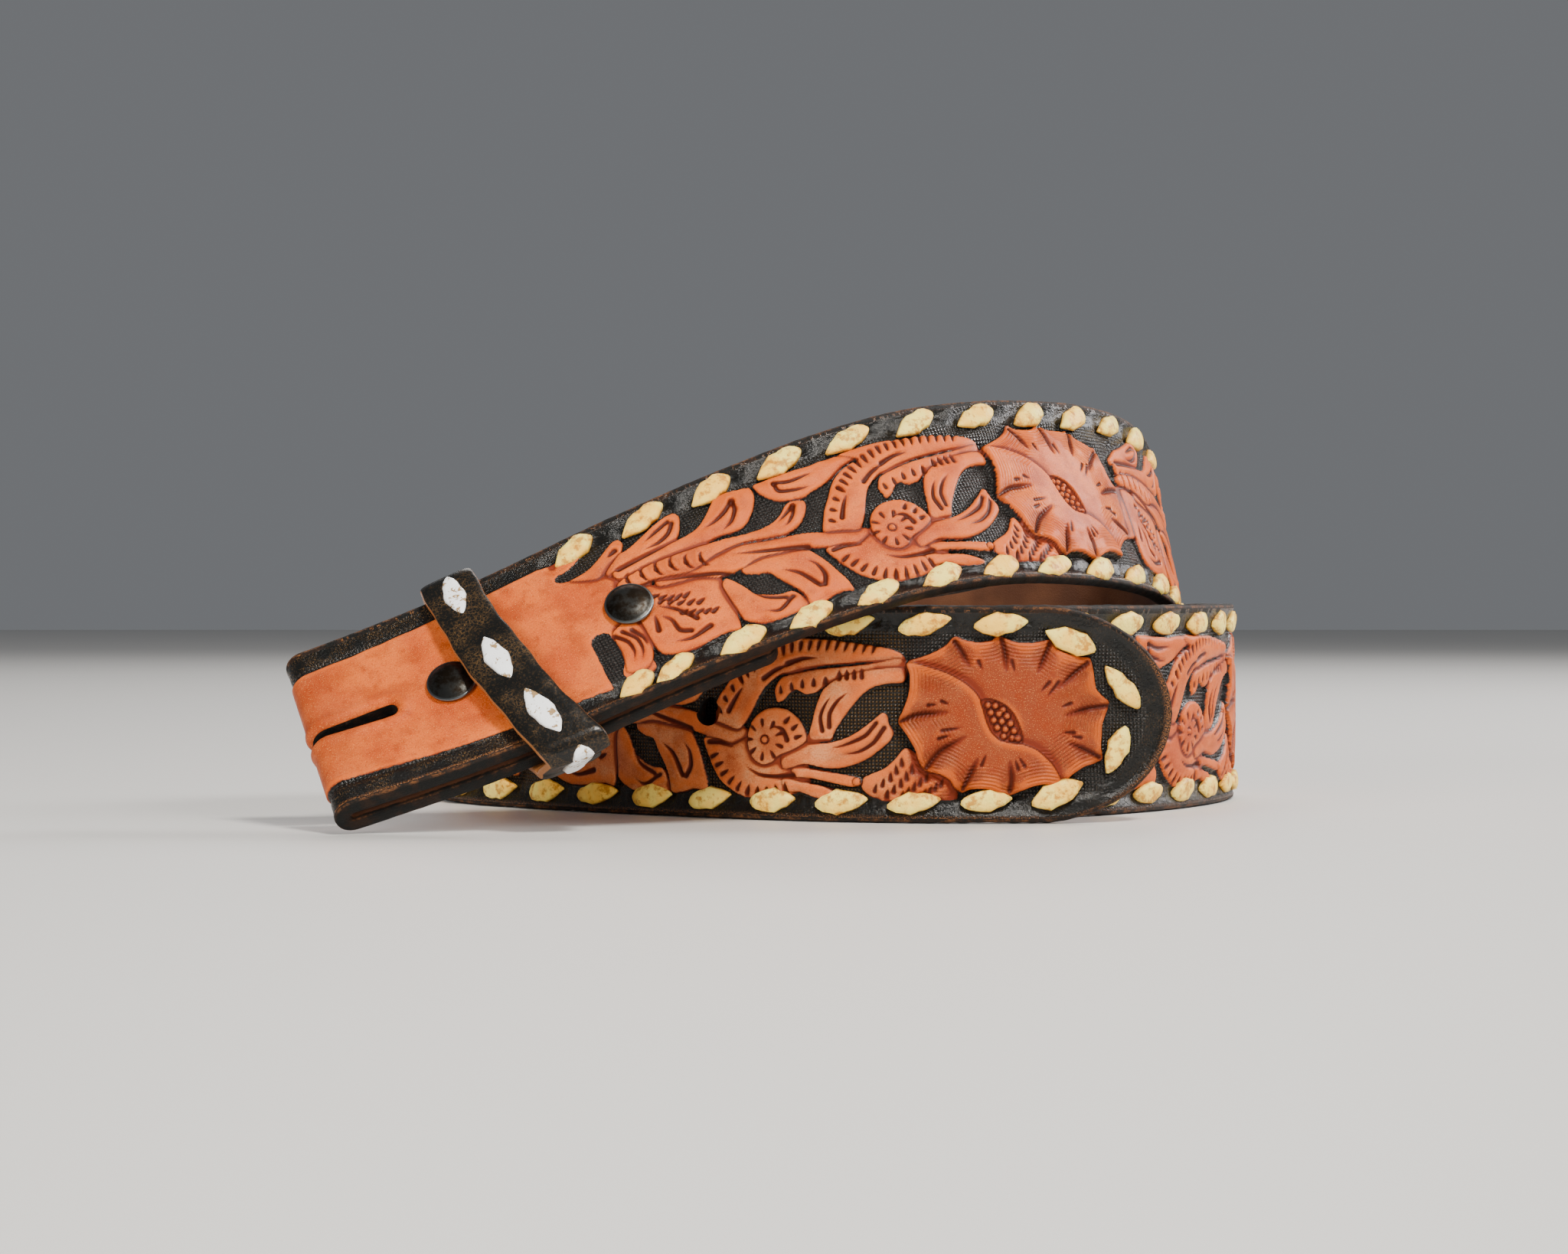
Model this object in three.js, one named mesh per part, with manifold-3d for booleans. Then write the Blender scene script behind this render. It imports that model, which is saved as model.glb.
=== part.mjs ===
// A western belt strap of tooled leather, lying in a loose coil on its edge.
// Millimetres, +Z up. The coil stands on z = 0, and the viewer looks along +Y.

import * as THREE from 'three';
import { mergeVertices } from 'three/addons/utils/BufferGeometryUtils.js';
import Module from 'manifold-3d';

const wasm = await Module();
wasm.setup();

// Strap
const STRAP_WIDTH = 38;
const LEATHER = 3;
const EDGE_CHAMFER = 0.6;
const TIP_LENGTH = 24;
const CLEARANCE = 0.3;

// Coil
const COIL_WIDTH = 155;
const COIL_DEPTH = 132;
const TURN_GAP = 0.5;
const ROW_STEP = 5;

// Adjusting holes in the tip strand
const HOLE_DIAMETER = 5;
const HOLE_COUNT = 5;
const HOLE_PITCH = 25;
const FIRST_HOLE_FROM_TIP = 84;

// Snaps that close the buckle end
const SNAP_CAP_DIAMETER = 8.6;
const SNAP_CAP_RISE = 1.4;
const SNAP_CAP_RIM = 0.5;
const SNAP_SHANK_DIAMETER = 4;
const SNAP_SOCKET_DIAMETER = 7.5;
const SNAP_SOCKET_THICKNESS = 0.6;
const SNAP_CAVITY_DIAMETER = 2.6;
const SNAP_CAVITY_DEPTH = 2;
const SNAP_FLANGE_DIAMETER = 6;
const SNAP_FLANGE_THICKNESS = 0.5;
const SNAP_BUTTON_DIAMETER = 8;
const SNAP_BUTTON_THICKNESS = 0.8;
const FIRST_SNAP_FROM_FOLD = 22.5;
const SNAP_SPACING = 33;
const SNAP_BELOW_CENTRE = 0.8;

// Folded buckle end
const FOLD_GAP = 1.2;
const FLAP_LENGTH = 76;
const SLOT_WIDTH = 3.2;
const SLOT_REACH = 12.8;
const SLOT_BELOW_CENTRE = 1.2;

// Keeper
const KEEPER_WIDTH = 10.4;
const KEEPER_THICKNESS = 2.1;
const KEEPER_FROM_FOLD = 29.2;
const KEEPER_SWEEP = 5;
const KEEPER_CORNER = 1.2;
const KEEPER_SLACK_ABOVE = 0.8;
const KEEPER_SLACK_FRONT = 4.4;
const KEEPER_SLACK_BACK = 0.8;

// Facets
const FOLD_STEPS = 6;
const TIP_ROWS = 8;
const LATHE_SIDES = 28;
const KEEPER_STEPS_ACROSS = 12;
const CORNER_STEPS = 4;
const CURVE_SAMPLES_PER_ROW = 16;

// The strap's centre line, from the tip to the fold, clockwise seen from above.
// x and y are shares of the coil's width and depth from its middle, z is a share of the
// strap's width above the table, and lean is how far the strap's top edge leans inwards, in degrees.
// layer counts the strap thicknesses that lie inside a row, so that turns which touch stay apart.
const ROUTE = [
  { x: 0.36, y: -0.41, z: 0.5, lean: 0, layer: 1 },
  { x: 0.15, y: -0.47, z: 0.5, lean: 0, layer: 1 },
  { x: -0.045, y: -0.42, z: 0.5, lean: 0, layer: 1 },
  { x: -0.22, y: -0.28, z: 0.5, lean: 0, layer: 1 },
  { x: -0.38, y: -0.125, z: 0.5, lean: 0, layer: 1 },
  { x: -0.48, y: 0.015, z: 0.5, lean: 0, layer: 1 },
  { x: -0.47, y: 0.16, z: 0.5, lean: 0, layer: 1 },
  { x: -0.345, y: 0.3, z: 0.5, lean: 0, layer: 1 },
  { x: -0.14, y: 0.415, z: 0.5, lean: 0, layer: 1 },
  { x: 0.1, y: 0.465, z: 0.5, lean: 0, layer: 1 },
  { x: 0.31, y: 0.43, z: 0.5, lean: 0, layer: 1 },
  { x: 0.45, y: 0.315, z: 0.5, lean: 0, layer: 1 },
  { x: 0.485, y: 0.13, z: 0.5, lean: 0, layer: 1 },
  { x: 0.43, y: -0.095, z: 0.5, lean: 0, layer: 0.5 },
  { x: 0.315, y: -0.31, z: 0.5, lean: 0, layer: 0 },
  { x: 0.155, y: -0.425, z: 0.5, lean: 0, layer: 0 },
  { x: -0.025, y: -0.41, z: 0.5, lean: 0, layer: 0 },
  { x: -0.205, y: -0.295, z: 0.5, lean: 0, layer: 0 },
  { x: -0.34, y: -0.125, z: 0.5, lean: 0, layer: 0 },
  { x: -0.385, y: 0.07, z: 0.5, lean: 0, layer: 0 },
  { x: -0.325, y: 0.245, z: 0.5, lean: 0, layer: 0 },
  { x: -0.155, y: 0.38, z: 0.5, lean: 0, layer: 0 },
  { x: 0.065, y: 0.45, z: 0.5, lean: 0, layer: 0 },
  { x: 0.275, y: 0.435, z: 0.63, lean: 0, layer: 0 },
  { x: 0.405, y: 0.325, z: 0.935, lean: 3, layer: 0 },
  { x: 0.42, y: 0.135, z: 1.335, lean: 10, layer: 0 },
  { x: 0.36, y: -0.09, z: 1.505, lean: 20, layer: 0 },
  { x: 0.25, y: -0.275, z: 1.545, lean: 29, layer: 0 },
  { x: 0.1, y: -0.41, z: 1.525, lean: 36, layer: 0 },
  { x: -0.075, y: -0.455, z: 1.285, lean: 38, layer: 1 },
  { x: -0.25, y: -0.48, z: 0.995, lean: 42, layer: 2 },
  { x: -0.41, y: -0.52, z: 0.675, lean: 43, layer: 2 },
  { x: -0.575, y: -0.545, z: 0.44, lean: 46, layer: 2 },
];

const LAYER_PITCH = LEATHER + TURN_GAP;
const HALF_WIDTH = STRAP_WIDTH / 2;
const HALF_LEATHER = LEATHER / 2;
const FLAP_OFFSET = LEATHER + FOLD_GAP;
const FOLD_RADIUS = FLAP_OFFSET / 2;
const SNAP_SPACE = SNAP_SOCKET_THICKNESS + SNAP_FLANGE_THICKNESS + 3 * CLEARANCE;
const SNAP_MIDDLE = -LEATHER - FOLD_GAP / 2;
const UP = new THREE.Vector3(0, 0, 1);

const leather = new THREE.MeshStandardMaterial({ color: 0xb5623a, roughness: 0.55, metalness: 0 });
const dyedLeather = new THREE.MeshStandardMaterial({ color: 0x23221e, roughness: 0.45, metalness: 0 });
const gunmetal = new THREE.MeshStandardMaterial({ color: 0x3a3a38, roughness: 0.35, metalness: 1 });

// Route rows in millimetres, each pushed outwards by the layers that lie inside it.
function placeRows() {
  return ROUTE.map((row, index) => {
    const before = ROUTE[Math.max(index - 1, 0)];
    const after = ROUTE[Math.min(index + 1, ROUTE.length - 1)];
    const travel = new THREE.Vector2(
      (after.x - before.x) * COIL_WIDTH,
      (after.y - before.y) * COIL_DEPTH,
    ).normalize();
    const outwards = row.layer * LAYER_PITCH;
    return {
      x: row.x * COIL_WIDTH - travel.y * outwards,
      y: row.y * COIL_DEPTH + travel.x * outwards,
      z: row.z * STRAP_WIDTH,
      lean: row.lean,
    };
  });
}

// One more row past each end, so that the curve starts and ends on the table's own rows.
function extendRows(rows) {
  const beyond = (end, next) => ({
    x: 2 * end.x - next.x,
    y: 2 * end.y - next.y,
    z: 2 * end.z - next.z,
    lean: 2 * end.lean - next.lean,
  });
  return [beyond(rows[0], rows[1]), ...rows, beyond(rows.at(-1), rows.at(-2))];
}

const rows = extendRows(placeRows());
const LAST_SPAN = rows.length - 4;

// Uniform cubic B-spline weights for a position and for its direction.
function splineWeights(u) {
  return [
    (1 - u) ** 3 / 6,
    (3 * u ** 3 - 6 * u ** 2 + 4) / 6,
    (-3 * u ** 3 + 3 * u ** 2 + 3 * u + 1) / 6,
    u ** 3 / 6,
  ];
}

function splineSlopes(u) {
  return [-((1 - u) ** 2) / 2, (3 * u ** 2 - 4 * u) / 2, (-3 * u ** 2 + 2 * u + 1) / 2, u ** 2 / 2];
}

function blend(first, weights, key) {
  return weights.reduce((sum, weight, k) => sum + weight * rows[first + k][key], 0);
}

function blendVector(first, weights) {
  return new THREE.Vector3(...['x', 'y', 'z'].map((key) => blend(first, weights, key)));
}

function splinePoint(t) {
  const first = Math.min(Math.floor(t), LAST_SPAN);
  return blendVector(first, splineWeights(t - first));
}

// The strap's own axes at a place on the curve: along it, across it towards the top edge,
// and out of its grain side.
function splineAxes(t) {
  const first = Math.min(Math.floor(t), LAST_SPAN);
  const along = blendVector(first, splineSlopes(t - first)).normalize();
  const upright = UP.clone().addScaledVector(along, -UP.dot(along)).normalize();
  const facing = new THREE.Vector3().crossVectors(upright, along);
  const lean = THREE.MathUtils.degToRad(blend(first, splineWeights(t - first), 'lean'));
  const across = upright.clone().multiplyScalar(Math.cos(lean)).addScaledVector(facing, -Math.sin(lean));
  const out = facing.multiplyScalar(Math.cos(lean)).addScaledVector(upright, Math.sin(lean));
  return { along, across, out };
}

// Lengths along the curve, to find the place that lies a given length from the tip.
function measureCurve() {
  const lengths = [0];
  let last = splinePoint(0);
  for (let k = 1; k <= (LAST_SPAN + 1) * CURVE_SAMPLES_PER_ROW; k += 1) {
    const next = splinePoint(k / CURVE_SAMPLES_PER_ROW);
    lengths.push(lengths.at(-1) + next.distanceTo(last));
    last = next;
  }
  return lengths;
}

const lengths = measureCurve();
const FOLD_FROM_TIP = lengths.at(-1);

function curveStation(length) {
  const found = lengths.findIndex((value) => value >= length);
  const k = Math.max(found === -1 ? lengths.length - 1 : found, 1);
  const share = (length - lengths[k - 1]) / (lengths[k] - lengths[k - 1]);
  const t = (k - 1 + share) / CURVE_SAMPLES_PER_ROW;
  return { centre: splinePoint(t), ...splineAxes(t) };
}

// Turns a place on the flat strap into a place on the coiled one: length from the tip,
// height across from the centre line, and depth out of the middle of the leather.
function onFront(length, across, depth) {
  const station = curveStation(length);
  return station.centre.clone().addScaledVector(station.across, across).addScaledVector(station.out, depth);
}

function onFold(angle, across, depth) {
  const station = curveStation(FOLD_FROM_TIP);
  const reach = FOLD_RADIUS + depth;
  return station.centre
    .clone()
    .addScaledVector(station.out, reach * Math.cos(angle) - FOLD_RADIUS)
    .addScaledVector(station.along, reach * Math.sin(angle))
    .addScaledVector(station.across, across);
}

function onFlap(fromFold, across, depth) {
  return onFront(FOLD_FROM_TIP - fromFold, across, -FLAP_OFFSET - depth);
}

// The strap's section: a flat strip with chamfered edges, given as points across and through.
function stripSection(halfWidth) {
  const chamfer = Math.min(EDGE_CHAMFER, halfWidth / 2);
  const inner = halfWidth - chamfer;
  const flat = HALF_LEATHER - EDGE_CHAMFER;
  return [
    [inner, HALF_LEATHER],
    [-inner, HALF_LEATHER],
    [-halfWidth, flat],
    [-halfWidth, -flat],
    [-inner, -HALF_LEATHER],
    [inner, -HALF_LEATHER],
    [halfWidth, -flat],
    [halfWidth, flat],
  ];
}

function evenSteps(length) {
  return Math.max(1, Math.round(length / ROW_STEP));
}

// Every section of the strap, from the rounded tip to the end of the flap.
function strapSections() {
  const sections = [];
  const add = (place, halfWidth) => {
    sections.push(stripSection(halfWidth).map(([across, depth]) => place(across, depth)));
  };
  for (let k = 0; k < TIP_ROWS; k += 1) {
    const turn = (Math.PI / 2) * ((k + 0.5) / (TIP_ROWS + 0.5));
    const length = TIP_LENGTH * (1 - Math.cos(turn));
    add((across, depth) => onFront(length, across, depth), HALF_WIDTH * Math.sin(turn));
  }
  const runSteps = evenSteps(FOLD_FROM_TIP - TIP_LENGTH);
  for (let k = 0; k <= runSteps; k += 1) {
    const length = TIP_LENGTH + ((FOLD_FROM_TIP - TIP_LENGTH) * k) / runSteps;
    add((across, depth) => onFront(length, across, depth), HALF_WIDTH);
  }
  for (let k = 1; k < FOLD_STEPS; k += 1) {
    const angle = (Math.PI * k) / FOLD_STEPS;
    add((across, depth) => onFold(angle, across, depth), HALF_WIDTH);
  }
  const flapSteps = evenSteps(FLAP_LENGTH);
  for (let k = 0; k <= flapSteps; k += 1) {
    const fromFold = (FLAP_LENGTH * k) / flapSteps;
    add((across, depth) => onFlap(fromFold, across, depth), HALF_WIDTH);
  }
  return sections;
}

// Skins a row of sections. A ring joins its last section to its first, a run is capped.
function skin(sections, closed) {
  const sides = sections[0].length;
  const positions = sections.flat().flatMap((point) => point.toArray());
  const index = [];
  const spans = closed ? sections.length : sections.length - 1;
  for (let s = 0; s < spans; s += 1) {
    const here = s * sides;
    const there = ((s + 1) % sections.length) * sides;
    for (let k = 0; k < sides; k += 1) {
      const next = (k + 1) % sides;
      index.push(here + k, there + k, there + next);
      index.push(here + k, there + next, here + next);
    }
  }
  if (!closed) {
    const last = (sections.length - 1) * sides;
    for (let k = 1; k < sides - 1; k += 1) {
      index.push(0, k, k + 1);
      index.push(last, last + k + 1, last + k);
    }
  }
  const geometry = new THREE.BufferGeometry();
  geometry.setAttribute('position', new THREE.Float32BufferAttribute(positions, 3));
  geometry.setIndex(index);
  return geometry;
}

function toSolid(geometry) {
  const bare = geometry.clone();
  bare.deleteAttribute('normal');
  bare.deleteAttribute('uv');
  const merged = mergeVertices(bare);
  return new wasm.Manifold(
    new wasm.Mesh({
      numProp: 3,
      vertProperties: new Float32Array(merged.attributes.position.array),
      triVerts: new Uint32Array(merged.index.array),
    }),
  );
}

function toGeometry(solid) {
  const mesh = solid.getMesh();
  const geometry = new THREE.BufferGeometry();
  geometry.setAttribute('position', new THREE.Float32BufferAttribute(mesh.vertProperties, 3));
  geometry.setIndex(Array.from(mesh.triVerts));
  geometry.computeVertexNormals();
  return geometry;
}

// Axes that lay a lathe's or cutter's own Y along the strap's grain side.
function seatMatrix(station) {
  return new THREE.Matrix4()
    .makeBasis(station.along, station.out, station.across)
    .setPosition(station.centre);
}

function snapStation(fromTip) {
  const station = curveStation(fromTip);
  station.centre.addScaledVector(station.across, -SNAP_BELOW_CENTRE);
  return station;
}

// A drill from above the grain to just past the layers that it has to pass.
function holeCutter(station, diameter, deepest) {
  const reach = LEATHER + deepest;
  const drill = new THREE.CylinderGeometry(diameter / 2, diameter / 2, reach, LATHE_SIDES);
  drill.translate(0, LEATHER - reach / 2, 0);
  return drill.applyMatrix4(seatMatrix(station));
}

// Long slot for a buckle's tongue, open through the fold, with a round end in each layer.
function slotCutter() {
  const shape = new THREE.Shape();
  const radius = SLOT_WIDTH / 2;
  const beyond = FOLD_RADIUS + LEATHER;
  shape.moveTo(beyond, -radius);
  shape.lineTo(beyond, radius);
  shape.lineTo(radius - SLOT_REACH, radius);
  shape.absarc(radius - SLOT_REACH, 0, radius, Math.PI / 2, (3 * Math.PI) / 2, false);
  const depth = 2 * LEATHER + FLAP_OFFSET;
  const options = { depth, bevelEnabled: false, curveSegments: LATHE_SIDES / 2 };
  const cutter = new THREE.ExtrudeGeometry(shape, options);
  cutter.translate(0, SLOT_BELOW_CENTRE, LEATHER - depth);
  const station = curveStation(FOLD_FROM_TIP);
  const axes = new THREE.Matrix4()
    .makeBasis(station.along, station.across.clone().negate(), station.out)
    .setPosition(station.centre);
  return cutter.applyMatrix4(axes);
}

// Room for a snap's socket and flange between the layers, pressed into both of them.
function snapRoomCutter(fromTip) {
  const radius = SNAP_SOCKET_DIAMETER / 2 + CLEARANCE;
  const room = new THREE.CylinderGeometry(radius, radius, SNAP_SPACE, LATHE_SIDES);
  room.translate(0, HALF_LEATHER + SNAP_MIDDLE, 0);
  return room.applyMatrix4(seatMatrix(snapStation(fromTip)));
}

function snapPlaces() {
  const first = FOLD_FROM_TIP - FIRST_SNAP_FROM_FOLD;
  return [first, first - SNAP_SPACING];
}

function adjustingHoles() {
  return Array.from({ length: HOLE_COUNT }, (_, k) => FIRST_HOLE_FROM_TIP + k * HOLE_PITCH);
}

function strapGeometry() {
  const shankHole = SNAP_SHANK_DIAMETER + 2 * CLEARANCE;
  const throughFlap = FLAP_OFFSET + LEATHER;
  const throughTip = HALF_LEATHER + TURN_GAP / 2;
  const cutters = [
    slotCutter(),
    ...snapPlaces().map((place) => holeCutter(snapStation(place), shankHole, throughFlap)),
    ...snapPlaces().map(snapRoomCutter),
    ...adjustingHoles().map((place) => holeCutter(curveStation(place), HOLE_DIAMETER, throughTip)),
  ];
  const strap = cutters.reduce(
    (solid, cutter) => solid.subtract(toSolid(cutter)),
    toSolid(skin(strapSections(), false)),
  );
  return toGeometry(strap);
}

// The cap lies on the grain, its shank passes the front layer and ends in the socket.
// Heights are measured from the grain side of the front layer.
function snapCapGeometry() {
  const capRadius = SNAP_CAP_DIAMETER / 2;
  const shank = SNAP_SHANK_DIAMETER / 2;
  const cavity = SNAP_CAVITY_DIAMETER / 2;
  const underCap = CLEARANCE;
  const socketTop = SNAP_MIDDLE + SNAP_SPACE / 2 - CLEARANCE;
  const socketBottom = socketTop - SNAP_SOCKET_THICKNESS;
  const points = [new THREE.Vector2(0, underCap + SNAP_CAP_RISE)];
  const domeSteps = 4;
  for (let k = 1; k <= domeSteps; k += 1) {
    const turn = (Math.PI / 2) * (k / domeSteps);
    const height = underCap + SNAP_CAP_RIM + (SNAP_CAP_RISE - SNAP_CAP_RIM) * Math.cos(turn);
    points.push(new THREE.Vector2(capRadius * Math.sin(turn), height));
  }
  points.push(
    new THREE.Vector2(capRadius, underCap),
    new THREE.Vector2(shank, underCap),
    new THREE.Vector2(shank, socketTop),
    new THREE.Vector2(SNAP_SOCKET_DIAMETER / 2, socketTop),
    new THREE.Vector2(SNAP_SOCKET_DIAMETER / 2, socketBottom),
    new THREE.Vector2(cavity, socketBottom),
    new THREE.Vector2(cavity, socketBottom + SNAP_CAVITY_DEPTH),
    new THREE.Vector2(0, socketBottom + SNAP_CAVITY_DEPTH),
  );
  return new THREE.LatheGeometry(points.reverse(), LATHE_SIDES);
}

// The stud reaches into the socket, its flange and back button hold the flap.
function snapStudGeometry() {
  const shank = SNAP_SHANK_DIAMETER / 2;
  const peg = SNAP_CAVITY_DIAMETER / 2 - CLEARANCE;
  const flangeBottom = SNAP_MIDDLE - SNAP_SPACE / 2 + CLEARANCE;
  const socketBottom = flangeBottom + SNAP_FLANGE_THICKNESS + CLEARANCE;
  const pegTop = socketBottom + SNAP_CAVITY_DEPTH - CLEARANCE;
  const button = -LEATHER - FLAP_OFFSET - CLEARANCE;
  const points = [
    new THREE.Vector2(0, pegTop),
    new THREE.Vector2(peg, pegTop),
    new THREE.Vector2(peg, flangeBottom + SNAP_FLANGE_THICKNESS),
    new THREE.Vector2(SNAP_FLANGE_DIAMETER / 2, flangeBottom + SNAP_FLANGE_THICKNESS),
    new THREE.Vector2(SNAP_FLANGE_DIAMETER / 2, flangeBottom),
    new THREE.Vector2(shank, flangeBottom),
    new THREE.Vector2(shank, button),
    new THREE.Vector2(SNAP_BUTTON_DIAMETER / 2, button),
    new THREE.Vector2(SNAP_BUTTON_DIAMETER / 2, button - SNAP_BUTTON_THICKNESS),
    new THREE.Vector2(0, button - SNAP_BUTTON_THICKNESS),
  ];
  return new THREE.LatheGeometry(points.reverse(), LATHE_SIDES);
}

// The keeper's loop as seen along the strap, with the lift that clears the snap at its middle.
function keeperLoop(outwards) {
  const bulge = SNAP_CAP_RISE + CLEARANCE;
  const top = HALF_WIDTH + KEEPER_SLACK_ABOVE;
  const frontBottom = -HALF_WIDTH - KEEPER_SLACK_FRONT;
  const backBottom = -HALF_WIDTH - KEEPER_SLACK_BACK;
  const front = HALF_LEATHER + CLEARANCE;
  const back = -HALF_LEATHER - FLAP_OFFSET - CLEARANCE;
  const corner = KEEPER_CORNER;
  const loop = [];
  const addRun = (from, to, level, side) => {
    for (let k = 1; k < KEEPER_STEPS_ACROSS; k += 1) {
      const share = k / KEEPER_STEPS_ACROSS;
      const across = from + (to - from) * share;
      loop.push([across, level + side * (bulge * Math.sin(Math.PI * share) + outwards)]);
    }
  };
  const addCorner = (across, depth, start) => {
    for (let k = 0; k <= CORNER_STEPS; k += 1) {
      const turn = start + (Math.PI / 2) * (k / CORNER_STEPS);
      const radius = corner + outwards;
      loop.push([across + radius * Math.cos(turn), depth + radius * Math.sin(turn)]);
    }
  };
  addCorner(top - corner, front - corner, 0);
  addRun(top - corner, frontBottom + corner, front, 1);
  addCorner(frontBottom + corner, front - corner, Math.PI / 2);
  addCorner(backBottom + corner, back + corner, Math.PI);
  addRun(backBottom + corner, top - corner, back, -1);
  addCorner(top - corner, back + corner, (3 * Math.PI) / 2);
  return loop;
}

// The keeper hangs square to the strap at its top edge and sweeps away from the fold below it.
function keeperGeometry() {
  const place = ([across, depth], side) => {
    const fall = Math.max(0, (HALF_WIDTH - across) / STRAP_WIDTH);
    const fromFold = KEEPER_FROM_FOLD + KEEPER_SWEEP * fall ** 2;
    return onFront(FOLD_FROM_TIP - fromFold + (side * KEEPER_WIDTH) / 2, across, depth);
  };
  const inner = keeperLoop(0);
  const outer = keeperLoop(KEEPER_THICKNESS);
  const sections = inner.map((point, k) => [
    place(point, 1),
    place(outer[k], 1),
    place(outer[k], -1),
    place(point, -1),
  ]);
  return skin(sections, true);
}

function named(name, geometry, material) {
  const mesh = new THREE.Mesh(geometry, material);
  mesh.name = name;
  return mesh;
}

// A snap's half, seated on the strap with its heights measured from the grain side.
function seated(name, geometry, fromTip) {
  const station = snapStation(fromTip);
  const mesh = named(name, geometry, gunmetal);
  mesh.position.copy(station.centre).addScaledVector(station.out, HALF_LEATHER);
  mesh.quaternion.setFromRotationMatrix(seatMatrix(station));
  return mesh;
}

const group = new THREE.Group();
group.add(named('strap', strapGeometry(), leather));
group.add(named('keeper', keeperGeometry(), dyedLeather));
snapPlaces().forEach((place, k) => {
  group.add(seated(`snap_cap_${k + 1}`, snapCapGeometry(), place));
  group.add(seated(`snap_stud_${k + 1}`, snapStudGeometry(), place));
});

// The origin is the middle of the coil's box, on the table.
const bounds = new THREE.Box3().setFromObject(group, true);
const middle = bounds.getCenter(new THREE.Vector3());
group.position.set(-middle.x, -middle.y, -bounds.min.z);

export default group;
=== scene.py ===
# A coiled western belt strap: tooled and dyed leather, buckstitch lacing, a laced keeper and two snaps.
import math

import bmesh
import bpy
import numpy as np
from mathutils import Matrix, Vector


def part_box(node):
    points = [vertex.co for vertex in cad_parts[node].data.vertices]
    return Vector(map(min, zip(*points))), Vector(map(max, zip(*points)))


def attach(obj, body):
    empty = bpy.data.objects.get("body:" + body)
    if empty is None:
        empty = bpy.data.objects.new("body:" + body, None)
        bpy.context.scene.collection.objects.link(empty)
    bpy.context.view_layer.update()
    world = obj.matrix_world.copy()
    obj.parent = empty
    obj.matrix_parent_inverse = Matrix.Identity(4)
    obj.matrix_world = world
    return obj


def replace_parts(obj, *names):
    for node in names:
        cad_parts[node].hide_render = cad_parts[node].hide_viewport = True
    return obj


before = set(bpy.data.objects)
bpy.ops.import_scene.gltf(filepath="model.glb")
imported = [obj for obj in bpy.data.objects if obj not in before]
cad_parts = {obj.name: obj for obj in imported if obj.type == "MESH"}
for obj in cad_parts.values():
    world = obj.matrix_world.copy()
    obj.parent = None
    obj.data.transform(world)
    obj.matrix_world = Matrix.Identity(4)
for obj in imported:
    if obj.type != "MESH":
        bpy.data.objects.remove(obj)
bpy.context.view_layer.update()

# Sizes are in millimetres and angles in degrees. The mesh is written in metres.
MM = 0.001

# The strap, as the frame's own solid has it
STRAP_WIDTH = 38.0
LEATHER = 3.0
TIP_LENGTH = 24.0
COIL_WIDTH = 155.0
COIL_DEPTH = 132.0
TURN_GAP = 0.5
FOLD_GAP = 1.2
FLAP_LENGTH = 76.0
HALF_WIDTH = STRAP_WIDTH / 2
HALF_LEATHER = LEATHER / 2
FLAP_OFFSET = LEATHER + FOLD_GAP
FOLD_RADIUS = FLAP_OFFSET / 2
FOLD_ARC = math.pi * FOLD_RADIUS

# Slot for a buckle's tongue, and adjusting holes
SLOT_WIDTH = 3.2
SLOT_REACH = 12.8
SLOT_BELOW_CENTRE = 1.2
HOLE_DIAMETER = 5.0
FIRST_HOLE = 84.0
HOLE_PITCH = 25.0
HOLE_COUNT = 5

# Snaps
FIRST_SNAP_FROM_FOLD = 22.5
SNAP_SPACING = 33.0
SNAP_BELOW_CENTRE = 0.8
SNAP_SPACE = 2.0

# Keeper
KEEPER_WIDTH = 10.4
KEEPER_THICKNESS = 2.1
KEEPER_FROM_FOLD = 29.2
KEEPER_SWEEP = 5.0
KEEPER_CORNER = 1.2
KEEPER_SLACK_ABOVE = 0.8
KEEPER_SLACK_FRONT = 4.4
KEEPER_SLACK_BACK = 0.8
KEEPER_BULGE = 1.7
CLEARANCE = 0.3

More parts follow.
